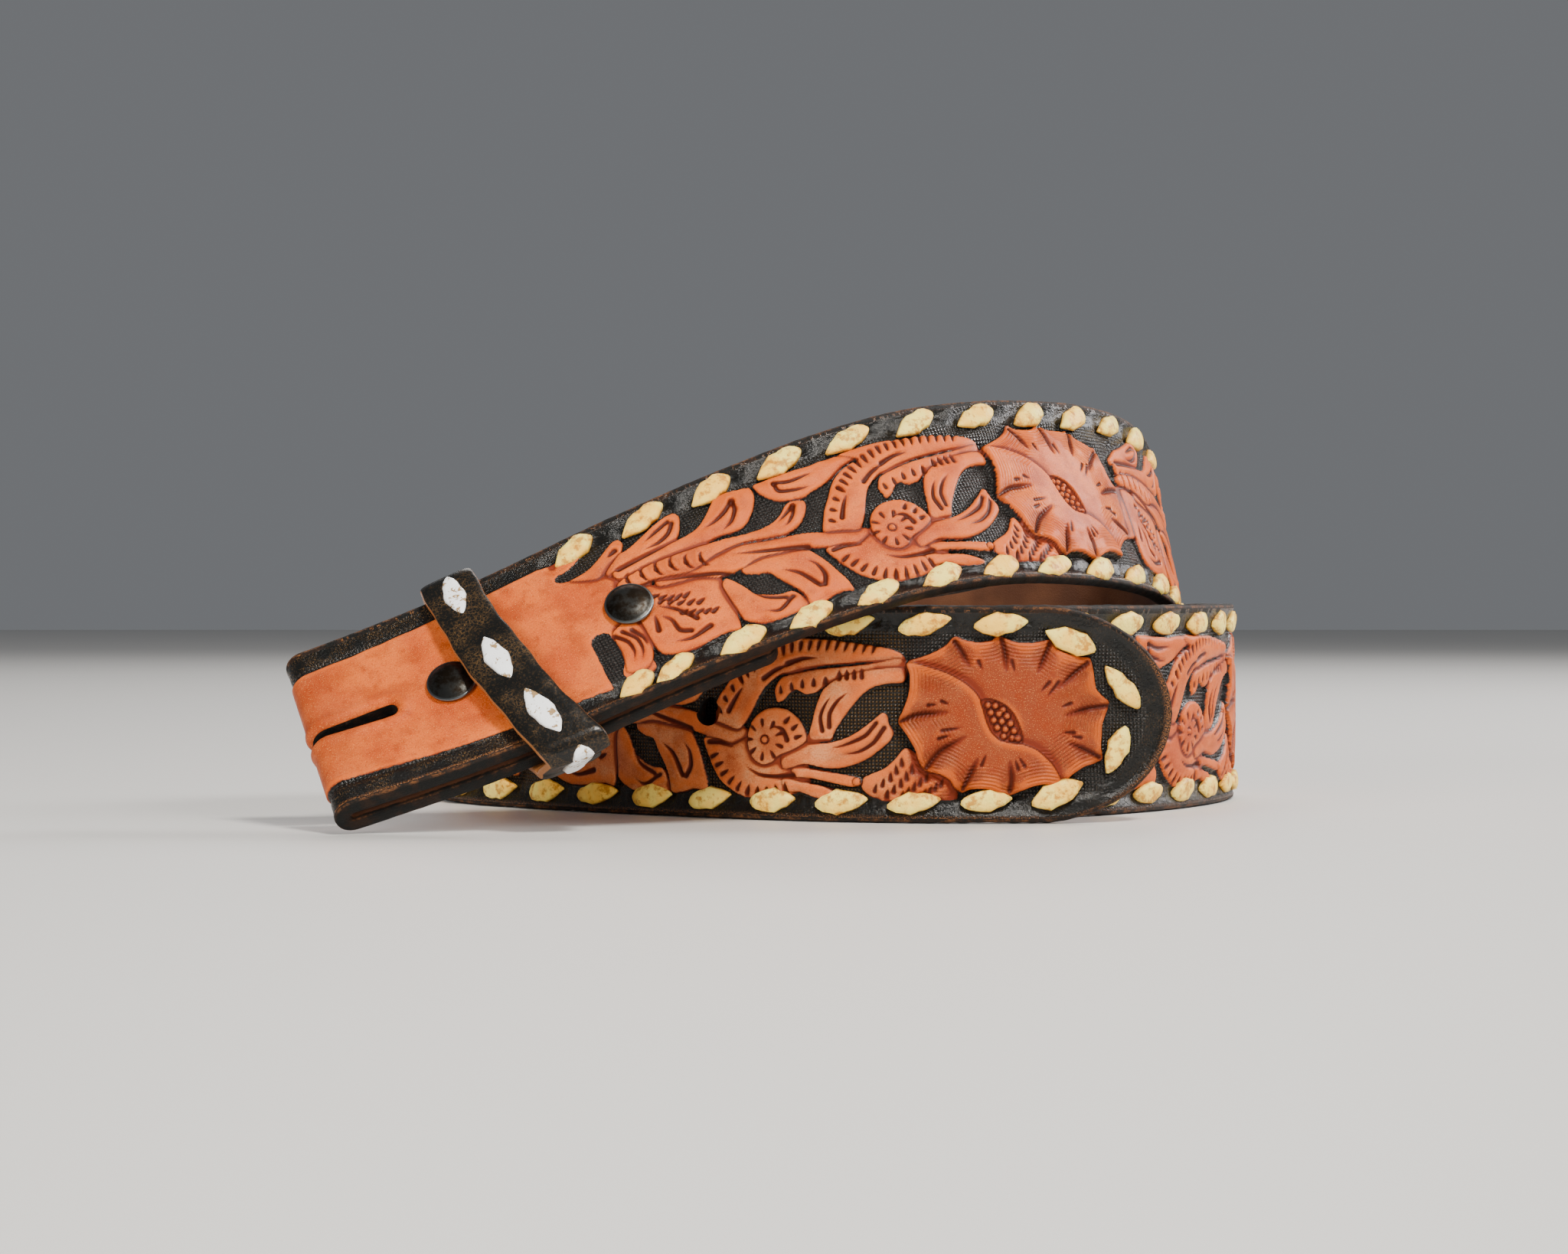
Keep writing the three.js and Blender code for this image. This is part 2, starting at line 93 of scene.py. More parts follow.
# The strap's centre line from the tip to the fold: x and y as shares of the coil's width and depth,
# z as a share of the strap's width, the lean of its top edge, and the layers that lie inside it.
ROUTE = [
    (0.36, -0.41, 0.5, 0, 1),
    (0.15, -0.47, 0.5, 0, 1),
    (-0.045, -0.42, 0.5, 0, 1),
    (-0.22, -0.28, 0.5, 0, 1),
    (-0.38, -0.125, 0.5, 0, 1),
    (-0.48, 0.015, 0.5, 0, 1),
    (-0.47, 0.16, 0.5, 0, 1),
    (-0.345, 0.3, 0.5, 0, 1),
    (-0.14, 0.415, 0.5, 0, 1),
    (0.1, 0.465, 0.5, 0, 1),
    (0.31, 0.43, 0.5, 0, 1),
    (0.45, 0.315, 0.5, 0, 1),
    (0.485, 0.13, 0.5, 0, 1),
    (0.43, -0.095, 0.5, 0, 0.5),
    (0.315, -0.31, 0.5, 0, 0),
    (0.155, -0.425, 0.5, 0, 0),
    (-0.025, -0.41, 0.5, 0, 0),
    (-0.205, -0.295, 0.5, 0, 0),
    (-0.34, -0.125, 0.5, 0, 0),
    (-0.385, 0.07, 0.5, 0, 0),
    (-0.325, 0.245, 0.5, 0, 0),
    (-0.155, 0.38, 0.5, 0, 0),
    (0.065, 0.45, 0.5, 0, 0),
    (0.275, 0.435, 0.63, 0, 0),
    (0.405, 0.325, 0.935, 3, 0),
    (0.42, 0.135, 1.335, 10, 0),
    (0.36, -0.09, 1.505, 20, 0),
    (0.25, -0.275, 1.545, 29, 0),
    (0.1, -0.41, 1.525, 36, 0),
    (-0.075, -0.455, 1.285, 38, 1),
    (-0.25, -0.48, 0.995, 42, 2),
    (-0.41, -0.52, 0.675, 43, 2),
    (-0.575, -0.545, 0.44, 46, 2),
]

# Camera, at the photograph's own place
CAMERA_PLACE = (-1.2, -653.96, 40.34)
CAMERA_LENS = 80.05
CAMERA_SENSOR = 36.0
CAMERA_DIP = 0.586


def unit(vectors):
    return vectors / np.linalg.norm(vectors, axis=-1, keepdims=True)


def smoothstep(value, start, end):
    share = np.clip((value - start) / (end - start), 0, 1)
    return share * share * (3 - 2 * share)


class Strap:
    """The strap's curve, and the way from a place on the flat strap to its place in the coil."""

    SAMPLES_PER_ROW = 256

    def __init__(self):
        rows = self.place_rows()
        rows = np.vstack([2 * rows[0] - rows[1], rows, 2 * rows[-1] - rows[-2]])
        spans = len(rows) - 3
        t = np.linspace(0, spans, spans * self.SAMPLES_PER_ROW + 1)
        first = np.minimum(t.astype(int), spans - 1)
        u = (t - first)[:, None]
        near = [rows[first + k] for k in range(4)]
        weights = [(1 - u) ** 3, 3 * u**3 - 6 * u**2 + 4, -3 * u**3 + 3 * u**2 + 3 * u + 1, u**3]
        slopes = [-((1 - u) ** 2), 3 * u**2 - 4 * u, -3 * u**2 + 2 * u + 1, u**2]
        here = sum(w * row for w, row in zip(weights, near)) / 6
        ahead = sum(w * row for w, row in zip(slopes, near)) / 2
        self.centre = here[:, :3]
        self.along = unit(ahead[:, :3])
        up = np.array([0.0, 0.0, 1.0])
        upright = unit(up - self.along * self.along[:, 2:])
        facing = np.cross(upright, self.along)
        lean = np.radians(here[:, 3:4])
        self.across = np.cos(lean) * upright - np.sin(lean) * facing
        self.out = np.cos(lean) * facing + np.sin(lean) * upright
        steps = np.linalg.norm(np.diff(self.centre, axis=0), axis=1)
        self.reach = np.concatenate([[0.0], np.cumsum(steps)])
        self.length = self.reach[-1]
        self.shift = np.zeros(3)
        self.shift = self.find_shift()

    @staticmethod
    def place_rows():
        rows = []
        for k, (x, y, z, lean, layer) in enumerate(ROUTE):
            before = ROUTE[max(k - 1, 0)]
            after = ROUTE[min(k + 1, len(ROUTE) - 1)]
            travel = Vector(((after[0] - before[0]) * COIL_WIDTH, (after[1] - before[1]) * COIL_DEPTH))
            travel.normalize()
            push = layer * (LEATHER + TURN_GAP)
            place = (x * COIL_WIDTH - travel.y * push, y * COIL_DEPTH + travel.x * push)
            rows.append((*place, z * STRAP_WIDTH, lean))
        return np.array(rows)

    def find_shift(self):
        """How far the frame's strap lies from the bare route, from the boxes of the two."""
        lengths = np.arange(TIP_LENGTH, self.length, 1.0)
        corners = [
            self.place(lengths, np.full_like(lengths, v), np.full_like(lengths, w))
            for v in (-HALF_WIDTH, HALF_WIDTH)
            for w in (-HALF_LEATHER, HALF_LEATHER)
        ]
        corners = np.vstack(corners)
        low, high = (np.array(corner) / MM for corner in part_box("strap"))
        right = high[0] - corners[:, 0].max()
        back = high[1] - corners[:, 1].max()
        return np.array([right, back, 0.0])

    def axes(self, length):
        parts = []
        for table in (self.centre, self.along, self.across, self.out):
            parts.append(np.stack([np.interp(length, self.reach, table[:, k]) for k in range(3)], -1))
        return parts[0] + self.shift, *(unit(part) for part in parts[1:])

    def place(self, length, across, depth):
        """From lengths past the tip, heights across and depths out of the leather's middle."""
        length, across, depth = (np.asarray(value, float) for value in (length, across, depth))
        beyond = length - self.length
        folded = beyond > FOLD_ARC
        front = np.where(folded, self.length - (beyond - FOLD_ARC), np.minimum(length, self.length))
        centre, along, up, out = self.axes(front)
        flat_depth = np.where(folded, -FLAP_OFFSET - depth, depth)
        flat = centre + across[..., None] * up + flat_depth[..., None] * out
        angle = np.clip(beyond / FOLD_RADIUS, 0, math.pi)
        swing = FOLD_RADIUS + depth
        bent = (
            centre
            + across[..., None] * up
            + (swing * np.cos(angle) - FOLD_RADIUS)[..., None] * out
            + (swing * np.sin(angle))[..., None] * along
        )
        bending = (beyond > 0) & ~folded
        return np.where(bending[..., None], bent, flat)


strap = Strap()
STRAP_LENGTH = strap.length
WHOLE_LENGTH = STRAP_LENGTH + FOLD_ARC + FLAP_LENGTH

# The tooled pattern is charted flat, in millimetres: length towards the fold from a flower's middle,
# and height across from the strap's centre line. It repeats down the strap.
FIRST_FLOWER = 30.0
REPEAT = 110.6
REPEATS = 8
LAST = REPEATS - 1

FLOWER = [
    (16.6, 9.1), (14.3, 9.9), (12, 10.8), (10, 12), (8.6, 13.5), (7.5, 13.2), (6, 12.7), (4, 12.5),
    (2.2, 12.8), (1.2, 13.5), (0, 13.3), (-1.5, 12.7), (-3, 12.4), (-5, 12.4), (-6.6, 12.7), (-8, 12.9),
    (-8.8, 12), (-9.8, 11.1), (-11.5, 10.4), (-13.4, 10), (-15.2, 9.7), (-15.7, 8), (-15.9, 6),
    (-16.2, 4.4), (-17.2, 3.3), (-18.6, 2), (-18, 0), (-17.3, -1.8), (-17.2, -3.6), (-17.1, -5.4),
    (-17.5, -7.8), (-16, -8.6), (-14, -9.2), (-12, -10.6), (-11, -11.8), (-10.1, -13), (-9, -12.5),
    (-7, -12.2), (-5, -12.5), (-3, -13.3), (-1, -14.1), (0.5, -13.8), (2, -13.2), (4, -12.9),
    (6, -13.1), (7.3, -13.6), (8.6, -12.6), (9.3, -11.4), (11, -10.4), (13.5, -9.8), (14.5, -8.4),
    (15.3, -6), (16.7, -3.6), (18.2, -1.4), (17.4, 0.6), (16.6, 2.6), (16.2, 4.6), (16.2, 7),
]
# The lower left petals lie over the others: their outline runs past the seeds in one long S.
FRONT_PETALS = [
    (16.6, 8.9), (13, 8.2), (9.5, 7), (6.7, 5.4), (4.8, 3.6), (3.9, 1.8), (3.3, -0.6), (2.3, -3),
    (0.6, -4.6), (-2.6, -5.1), (-5.6, -6.2), (-8.2, -8.6), (-9.6, -11), (-10.1, -13), (-9, -12.5),
    (-7, -12.2), (-5, -12.5), (-3, -13.3), (-1, -14.1), (0.5, -13.8), (2, -13.2), (4, -12.9),
    (6, -13.1), (7.3, -13.6), (8.6, -12.6), (9.3, -11.4), (11, -10.4), (13.5, -9.8), (14.5, -8.4),
    (15.3, -6), (16.7, -3.6), (18.2, -1.4), (17.4, 0.6), (16.6, 2.6), (16.2, 4.6), (16.2, 7),
]
SEED_BED = [
    (3.9, 2.3), (2.6, 2.6), (1.2, 2.2), (-0.2, 1.4), (-1.5, 0), (-2.4, -1.8), (-3, -3.6), (-3.1, -4.9),
    (-1.8, -4.9), (-0.4, -4.6), (0.9, -4), (2.1, -3), (2.9, -1.2), (3.5, 0.8),
]
SEEDS = [
    (2.8, 1.6), (1.5, 1.5), (0.2, 0.8), (2.3, 0.3), (0.9, 0.1), (-0.5, -0.3), (1.8, -1), (0.4, -1.2),
    (-1.1, -1.6), (1.2, -2.3), (-0.2, -2.6), (-1.7, -2.9), (0.1, -3.8), (-1.4, -4.1), (-2.4, -4.2),
]
# Long knife cuts from the rim towards the seeds, and the short cuts beside them
PETAL_CUTS = [
    [(8.5, 12.6), (7.3, 10.9), (5.7, 8)], [(0.4, 13), (-0.2, 10.4), (-0.4, 7.2)],
    [(-8, 12.3), (-6.9, 9.8), (-5.7, 7)], [(-14.8, 8.9), (-12.4, 7.2), (-9, 4.2)],
    [(-18.2, 1.4), (-14.5, 0.9), (-10.3, -0.3)], [(-16.9, -7.6), (-14, -6.1), (-10.8, -4.9)],
    [(-1, -13.4), (-1.3, -11), (-0.9, -7.8)], [(7.1, -13), (5.8, -10.4), (4.3, -7.2)],
    [(13.3, -9.3), (10.9, -6.4), (6.2, -3.6)], [(17.8, -1.3), (14.8, -0.1), (9.3, 0.4)],
]
SHORT_CUTS = [
    [(4.4, 9.2), (3.7, 7.6)], [(-1.3, 9.3), (-1.9, 7)], [(13, 1.6), (11.3, 1.8)], [(10.7, 2.3), (9.2, 1.7)],
    [(11.2, -4.2), (9, -3.5)], [(10.6, -2.8), (6.9, -2.2)], [(3.9, -8.8), (3, -6.6)],
    [(-2.4, -9.5), (-1.7, -7.4)], [(-3.5, -9), (-2.2, -7)], [(-12.2, -3.2), (-9.9, -3.1)],
    [(-13.4, -4.1), (-11.2, -3.7)],
    [(-11.6, 1.9), (-9.6, 1.2)], [(-7.8, 5.6), (-6.1, 3.8)], [(-9.4, 5.6), (-7.2, 2.8)],
]

# Scroll beside the flower, from the back to the front
ROOT = [
    (95, 2.2), (90.6, 2.7), (88.6, 4.2), (86.9, 7), (85.6, 10), (84, 11.4), (80, 6), (78, 0), (80, -6),
    (84.5, -11.8), (87.6, -9.2), (90.4, -7.9), (95, -7.8),
]
PLAIN_END = [
    (92, 14.7), (88, 12), (86, 9), (85, 3), (86, -3), (90, -6), (92, -11), (93, -15), (112, -14.8),
    (128, -14.2), (142, -13.3), (160, -13), (240, -13), (240, 13), (160, 13), (142, 13.2), (128, 14),
    (112, 14.6),
]
STEM = [
    (84, 2.6), (78, 2.6), (73, 2.6), (68, 2.4), (64, 1.4), (60, 0.6), (57, -0.1), (53.6, -1.2),
    (50, -2.2), (47, -2.6), (45, -4), (46, -6), (49, -6), (52, -5.2), (55, -4.2), (58, -3.2),
    (62, -2.4), (66, -1.7), (70, -2.4), (74, -2.4), (78, -0.6), (84, 0.6),
]
LEAF_ONE = [
    (97, 9.6), (95.8, 9.8), (93.5, 10.1), (91.5, 11), (89, 12.5), (87.2, 13.7), (86, 13.7),
    (85.8, 12.5), (86.6, 11), (88, 9.4), (90.5, 8.6), (93, 7.6),
]
LEAF_TWO = [
    (91, 8), (87.5, 10.3), (85, 11), (82, 12.2), (79.5, 13.3), (77, 14), (75.4, 13.9), (74.9, 13),
    (75.2, 11.8), (76, 10.2), (77.2, 8.6), (79, 8), (84, 7.6), (90, 6.9),
]
LEAF_THREE = [
    (90, 7.2), (84, 7.9), (78, 8.2), (74.5, 8.6), (72.5, 9.4), (70.5, 11), (69, 12.5), (68, 13.5),
    (66, 13.8), (63.4, 13.3), (61.4, 12.9), (61.2, 11.4), (62, 9.5), (63.5, 7.5), (65.5, 5.8),
    (67.6, 5.4), (71.5, 5.6), (75, 4.6), (80, 4.6), (88, 4),
]
LEAF_BODY = [
    (90, 4.8), (84, 5.6), (78, 5.4), (72.2, 4.9), (70, 4.7), (67, 4.1), (63.5, 3.8), (61, 4.2),
    (59, 5.2), (57.5, 6.6), (56, 7), (54, 6.4), (54.2, 5), (55.2, 3.5), (56.8, 2), (58.5, 1.3),
    (60.5, 1), (64, 1.7), (68, 2.6), (73, 2.2), (78, 1), (84, 2.4), (90, 3),
]
LOOP_BAND = [
    (60.2, 13.3), (60.6, 12), (60, 10.3), (58.8, 8.7), (57, 7.6), (55.2, 7.1), (53.5, 7), (51.6, 7.6),
    (49, 8.3), (46.5, 9.4), (44.5, 10.5), (42.6, 11.1), (41, 11.4), (40, 12.4), (42, 13.1), (46, 13.1),
    (50, 12.8), (55, 13.1),
]
OUTER_CURL = [
    (44, 13.1), (40, 13.2), (35, 13.1), (30, 12.8), (25, 12.2), (20, 11.4), (17.6, 10.4), (16.9, 9),
    (16.6, 7.5), (17.2, 6), (19, 6.6), (22.6, 9), (27, 8.7), (31, 8.4), (34.5, 7.7), (37.4, 6.9),
    (39.2, 6.8), (41, 5.8), (42.6, 4.4), (43.9, 2.4), (45.2, 0), (46.6, -2), (48, -3), (50.6, -2.2),
    (53.7, -1.1), (53, 0.6), (51.6, 3), (50, 5), (48.5, 7), (47, 8.6), (45, 9.8), (43, 10.5),
    (41.3, 10.9),
]
CURL_LOBE = [
    (40.2, 2), (40.5, 4.2), (39.3, 6.2), (36.5, 7), (33, 7.7), (30, 8), (26, 8.4), (22, 8.9), (18, 9.6),
    (17, 8), (19, 6), (24, 5.4), (30.4, 5.2), (31.6, 4.5), (33, 3.6), (34.8, 3.4), (36.3, 4.1),
    (37.4, 3.8), (38.6, 2.6), (39.4, 2),
]
UPPER_FROND = [
    (17.4, 8), (17.2, 5.6), (20, 5.3), (22.5, 4.7), (24.5, 3.3), (26.5, 1), (28, -1), (29.3, -3),
    (30, -4.6), (31.5, -4.9), (33.4, -5.3), (35, -5.2), (34.2, -3.5), (33.5, -1.5), (33, 0.5),
    (32.3, 2.5), (31.2, 4.5), (28, 6.4), (23, 7.6),
]
LOWER_SCROLL = [
    (55, -4.6), (54.3, -7.2), (53.2, -9.6), (51.8, -11.8), (50, -13.4), (47.5, -14.7), (44.5, -15.3),
    (41, -15.3), (38.5, -14.7), (36.5, -13.9), (34.5, -13.2), (34, -11), (34.5, -8.6), (36, -5),
    (40, -3.6), (45, -4), (49, -5.8), (52, -5),
]
LOWER_BAR = [
    (39, -11.4), (36, -12), (32, -12.6), (29.5, -13.3), (28, -15), (31, -15.2), (33.5, -14.6),
    (36, -13.8), (38.5, -13.6),
]
UPPER_BAR = [
    (37, -9.2), (33, -9.8), (29, -10.4), (26.3, -10.9), (25, -11.3), (25, -12.5), (27, -12.6),
    (30, -12), (34, -11.3), (37, -10.9),
]
LOWER_FROND = [
    (39, -4.6), (34.5, -5.3), (30, -5), (27, -4.1), (24.5, -2.6), (22.3, -0.9), (21, 0.2), (20.2, -0.2),
    (19.8, -1.8), (19.1, -3.2), (19.6, -4.6), (21.2, -6.1), (23.2, -7.6), (25.5, -8.7), (28.5, -9.5),
    (31.5, -9.5), (35, -8.9), (39, -9.6),
]
SCROLL_DISC = [
    (45.8, -4.6), (45.4, -2.4), (44.3, -0.7), (42.5, 0.5), (40.4, 0.9), (38.1, 0.5), (36.2, -0.8),
    (34.9, -2.8), (34.6, -4.8), (37, -6.4), (39.6, -7.4), (41, -8.6), (42.6, -9.1), (44.3, -8.4),
    (45.4, -6.8),
]
SCALY_LEAF = [
    (24.3, -11.2), (22.5, -10.3), (20.5, -9.4), (18.8, -7.9), (17.5, -6.3), (16.6, -5.9), (15, -7),
    (12, -9), (9, -11), (8, -14.6), (12, -15), (16, -15.3), (20, -15.2), (23, -14.3), (24.6, -13),
]
LEAF_SIX = [
    (95.4, -4.6), (95.5, -8), (96, -11), (96.6, -13.2), (95.4, -13.9), (93.5, -14), (92, -13.1),
    (91, -11.5), (90.4, -9.5), (90.2, -6), (91, -3),
]
LEAF_SEVEN = [
    (90.2, -6.4), (90.3, -10.3), (89.8, -12.3), (88.3, -13.4), (86, -14), (83, -14.1), (80, -13.7),
    (77.5, -13.6), (75.7, -13.9), (75, -12), (74.6, -9.5), (74.5, -6), (74, -2.4), (78, -0.4),
    (84, 1.6), (90, 2),
]
LEAF_EIGHT = [
    (74.6, -4.6), (74.5, -9.5), (74.3, -12.4), (72.5, -13.9), (71, -14.6), (68, -14.9), (65, -14.7),
    (62.8, -14.9), (62.7, -13), (63.3, -11.3), (64.4, -10.3), (66.3, -10.2), (68.5, -9.3), (70.3, -8),
    (71.2, -6.2), (72.2, -4.4), (73.4, -3),
]
LEAF_NINE = [
    (70, -3.4), (68, -4.6), (66.2, -5.1), (65, -7.3), (63.5, -9.8), (62.6, -12), (62.4, -14.6),
    (60, -14.5), (57.5, -13.9), (55.6, -14), (54.3, -14.2), (54.4, -12), (55, -10), (55.8, -7.5),
    (56.8, -5.3), (58.2, -3.3), (62, -2.2), (66, -1.3), (70, -1),
]
UPPER_MARK = [
    (99.4, 10.8), (98.6, 11.9), (96.6, 12), (94, 13.2), (91.6, 15), (87, 17), (84, 15), (86.6, 14),
    (89, 12.5), (91.5, 11), (93.5, 10.1), (96, 9.7), (98.4, 9.9),
]
LOWER_MARK = [
    (99.8, -8), (99.6, -4.8), (98.6, -3.7), (97, -3.6), (96, -4.4), (95.7, -8), (96.2, -11),
    (97.4, -13.6), (96, -16), (100, -16),
]

# Each leaf or band of the scroll, with its height and how far it domes, in the order they overlap
SCROLL_SHAPES = [
    (LEAF_SEVEN, -0.22, 0.2), (LEAF_EIGHT, -0.2, 0.24), (LEAF_NINE, -0.14, 0.26), (STEM, -0.1, 0.2),
    (LEAF_TWO, -0.2, 0.24), (LEAF_THREE, -0.15, 0.24), (LEAF_BODY, -0.08, 0.22), (LOOP_BAND, -0.2, 0.3),
    (LOWER_SCROLL, -0.22, 0.26), (OUTER_CURL, -0.16, 0.28), (CURL_LOBE, -0.2, 0.24),
    (UPPER_FROND, -0.2, 0.26), (LOWER_BAR, -0.24, 0.22), (SCALY_LEAF, -0.28, 0.26),
    (UPPER_BAR, -0.16, 0.2), (LOWER_FROND, -0.16, 0.26), (SCROLL_DISC, -0.02, 0.22),
]
# Knife cuts in the leaves and bands, each from its deep end
VEINS = [
    [(57.3, 11.8), (54.5, 10.9), (49.5, 11.2)], [(57.4, 11.4), (57, 9.7), (54, 8.8), (51, 8.6)],
    [(31.5, -3), (31.9, -0.6), (31, 1.6), (29.6, 3.4)], [(30.3, -2.4), (30.2, 0), (28.8, 2.2), (26.6, 4)],
    [(22, -1.6), (24, -3.9), (28, -5.6), (31, -6.1)], [(20.6, -2.4), (22.4, -5), (25, -6.6), (28.6, -7.2)],
    [(87.6, 11.6), (89.6, 10.8)], [(76.6, 12), (78.2, 10.2), (80.5, 9.3), (83.5, 9.2)],
    [(77.2, 12.6), (80, 11.6), (83, 10.4)], [(65.4, 11.4), (65.8, 9.4), (67.4, 7.4), (70, 6.2)],
    [(65.5, 11.5), (67.4, 9.9), (70, 8.7), (73, 8.1)], [(56.2, 6), (57, 4.4), (58.6, 2.9), (60, 2.5)],
    [(56.3, 6.1), (58, 4.9), (60.6, 3.6)], [(59.4, -11.4), (61.5, -7.6), (64.5, -5.3)],
    [(58.6, -11.6), (57.6, -9.6), (58, -7), (59.5, -5.2)], [(65.8, -11.3), (69, -9.7), (71.2, -7)],
    [(64.6, -11.5), (68, -13.3), (70.7, -12.1)], [(83.4, -10.7), (85.1, -9.6), (85.4, -7), (87, -5)],
    [(80, -11.2), (84, -12.1), (87.2, -11.3)], [(88.3, -8), (87.8, -6), (87.5, -4.4)],
    [(81.4, -8.7), (84, -5), (87, -2.8)], [(71.5, -3.1), (74, -1.7), (78, -0.1), (82, 1.2), (86, 2.6)],
    [(57.6, -3.1), (60, -2.3), (66, -0.5), (71, 1.3)], [(88.8, 7.4), (84, 7.8), (78, 8.1)],
    [(49.6, 0.2), (48, 2.8), (46.4, 4.8)], [(42.6, 6), (40.2, 7.6), (36.6, 8.9)],
    [(38, 8.7), (35, 9.6), (32, 9.7)],
    [(38, -4.7), (38.8, -2.9), (40.4, -2.4), (41.3, -2.8)], [(54, -5.4), (51.5, -5.4), (48.6, -6.2)],
    [(37, -10.9), (40, -11.2), (43.5, -10.9), (46.4, -9.3)], [(28.4, -13.9), (31.6, -12.4), (35.6, -11.6)],
]
LAST_VEINS = [
    [(95.4, -5.4), (93.9, -7.6), (93.8, -10), (94.8, -12)],
    [(93.9, -5.2), (92.3, -7.8), (92.4, -10.4), (93.6, -12.6)],
    [(92.3, -5.6), (91.2, -8), (91.3, -10.2)],
]
# Rows of small stamps: the line they follow, how many, their length and how far they turn from square
STAMP_ROWS = [
    ([(22.5, 11), (30, 11.6), (37, 11.2), (43, 8.9), (47, 5.6)], 17, 1.7, 15),
    ([(47, 5.6), (49.4, 3), (51.2, 0)], 4, 1.2, 15),
    ([(52.4, -7.6), (50, -11), (47, -13), (43, -13.7), (38.6, -12.8)], 10, 1.8, 10),
    ([(39.4, 4.4), (35.5, 5.4), (31, 6)], 5, 1.3, 10),
    ([(28.5, 7), (24.5, 7.2)], 4, 1.5, 0),
    ([(37.8, -0.9), (36.3, -2.2), (35.6, -4)], 3, 1.4, 0),
]
CRESCENT_ROWS = [
    ([(87, 4.3), (84, 4.2), (81.3, 4), (78.7, 3.6), (76.4, 2.9), (74, 2.3)], 6, 1.9),
]
SCALE_ROWS = [
    [(22, -12.6), (19.6, -10.8), (17.6, -8)], [(20, -13.6), (17.8, -11.8), (15.8, -9.2)],
    [(17.4, -14), (15, -12), (13.2, -10.6)], [(14.6, -14.2), (12.4, -12.8), (10.6, -11.6)],
    [(85.4, -1), (83.4, -2.4), (80.6, -3.2)], [(84.8, -2.6), (82, -4.4), (79, -5.6)],
    [(82.4, -6.4), (80, -7.6), (77.6, -8.4)],
]
SCROLL_EYE = (42.3, -4.7)
SMALL_EYE = (25.3, -11.8)

# Buckstitch laces on each edge, and the length past which the strand in front of the coil starts
LACES_IN_ROW = 67
INNER_STRAND = 470.0
FRONT_STRAND = 660.0

# The last flower ends here, before the plain leather near the fold
PLAIN_START = 850.0


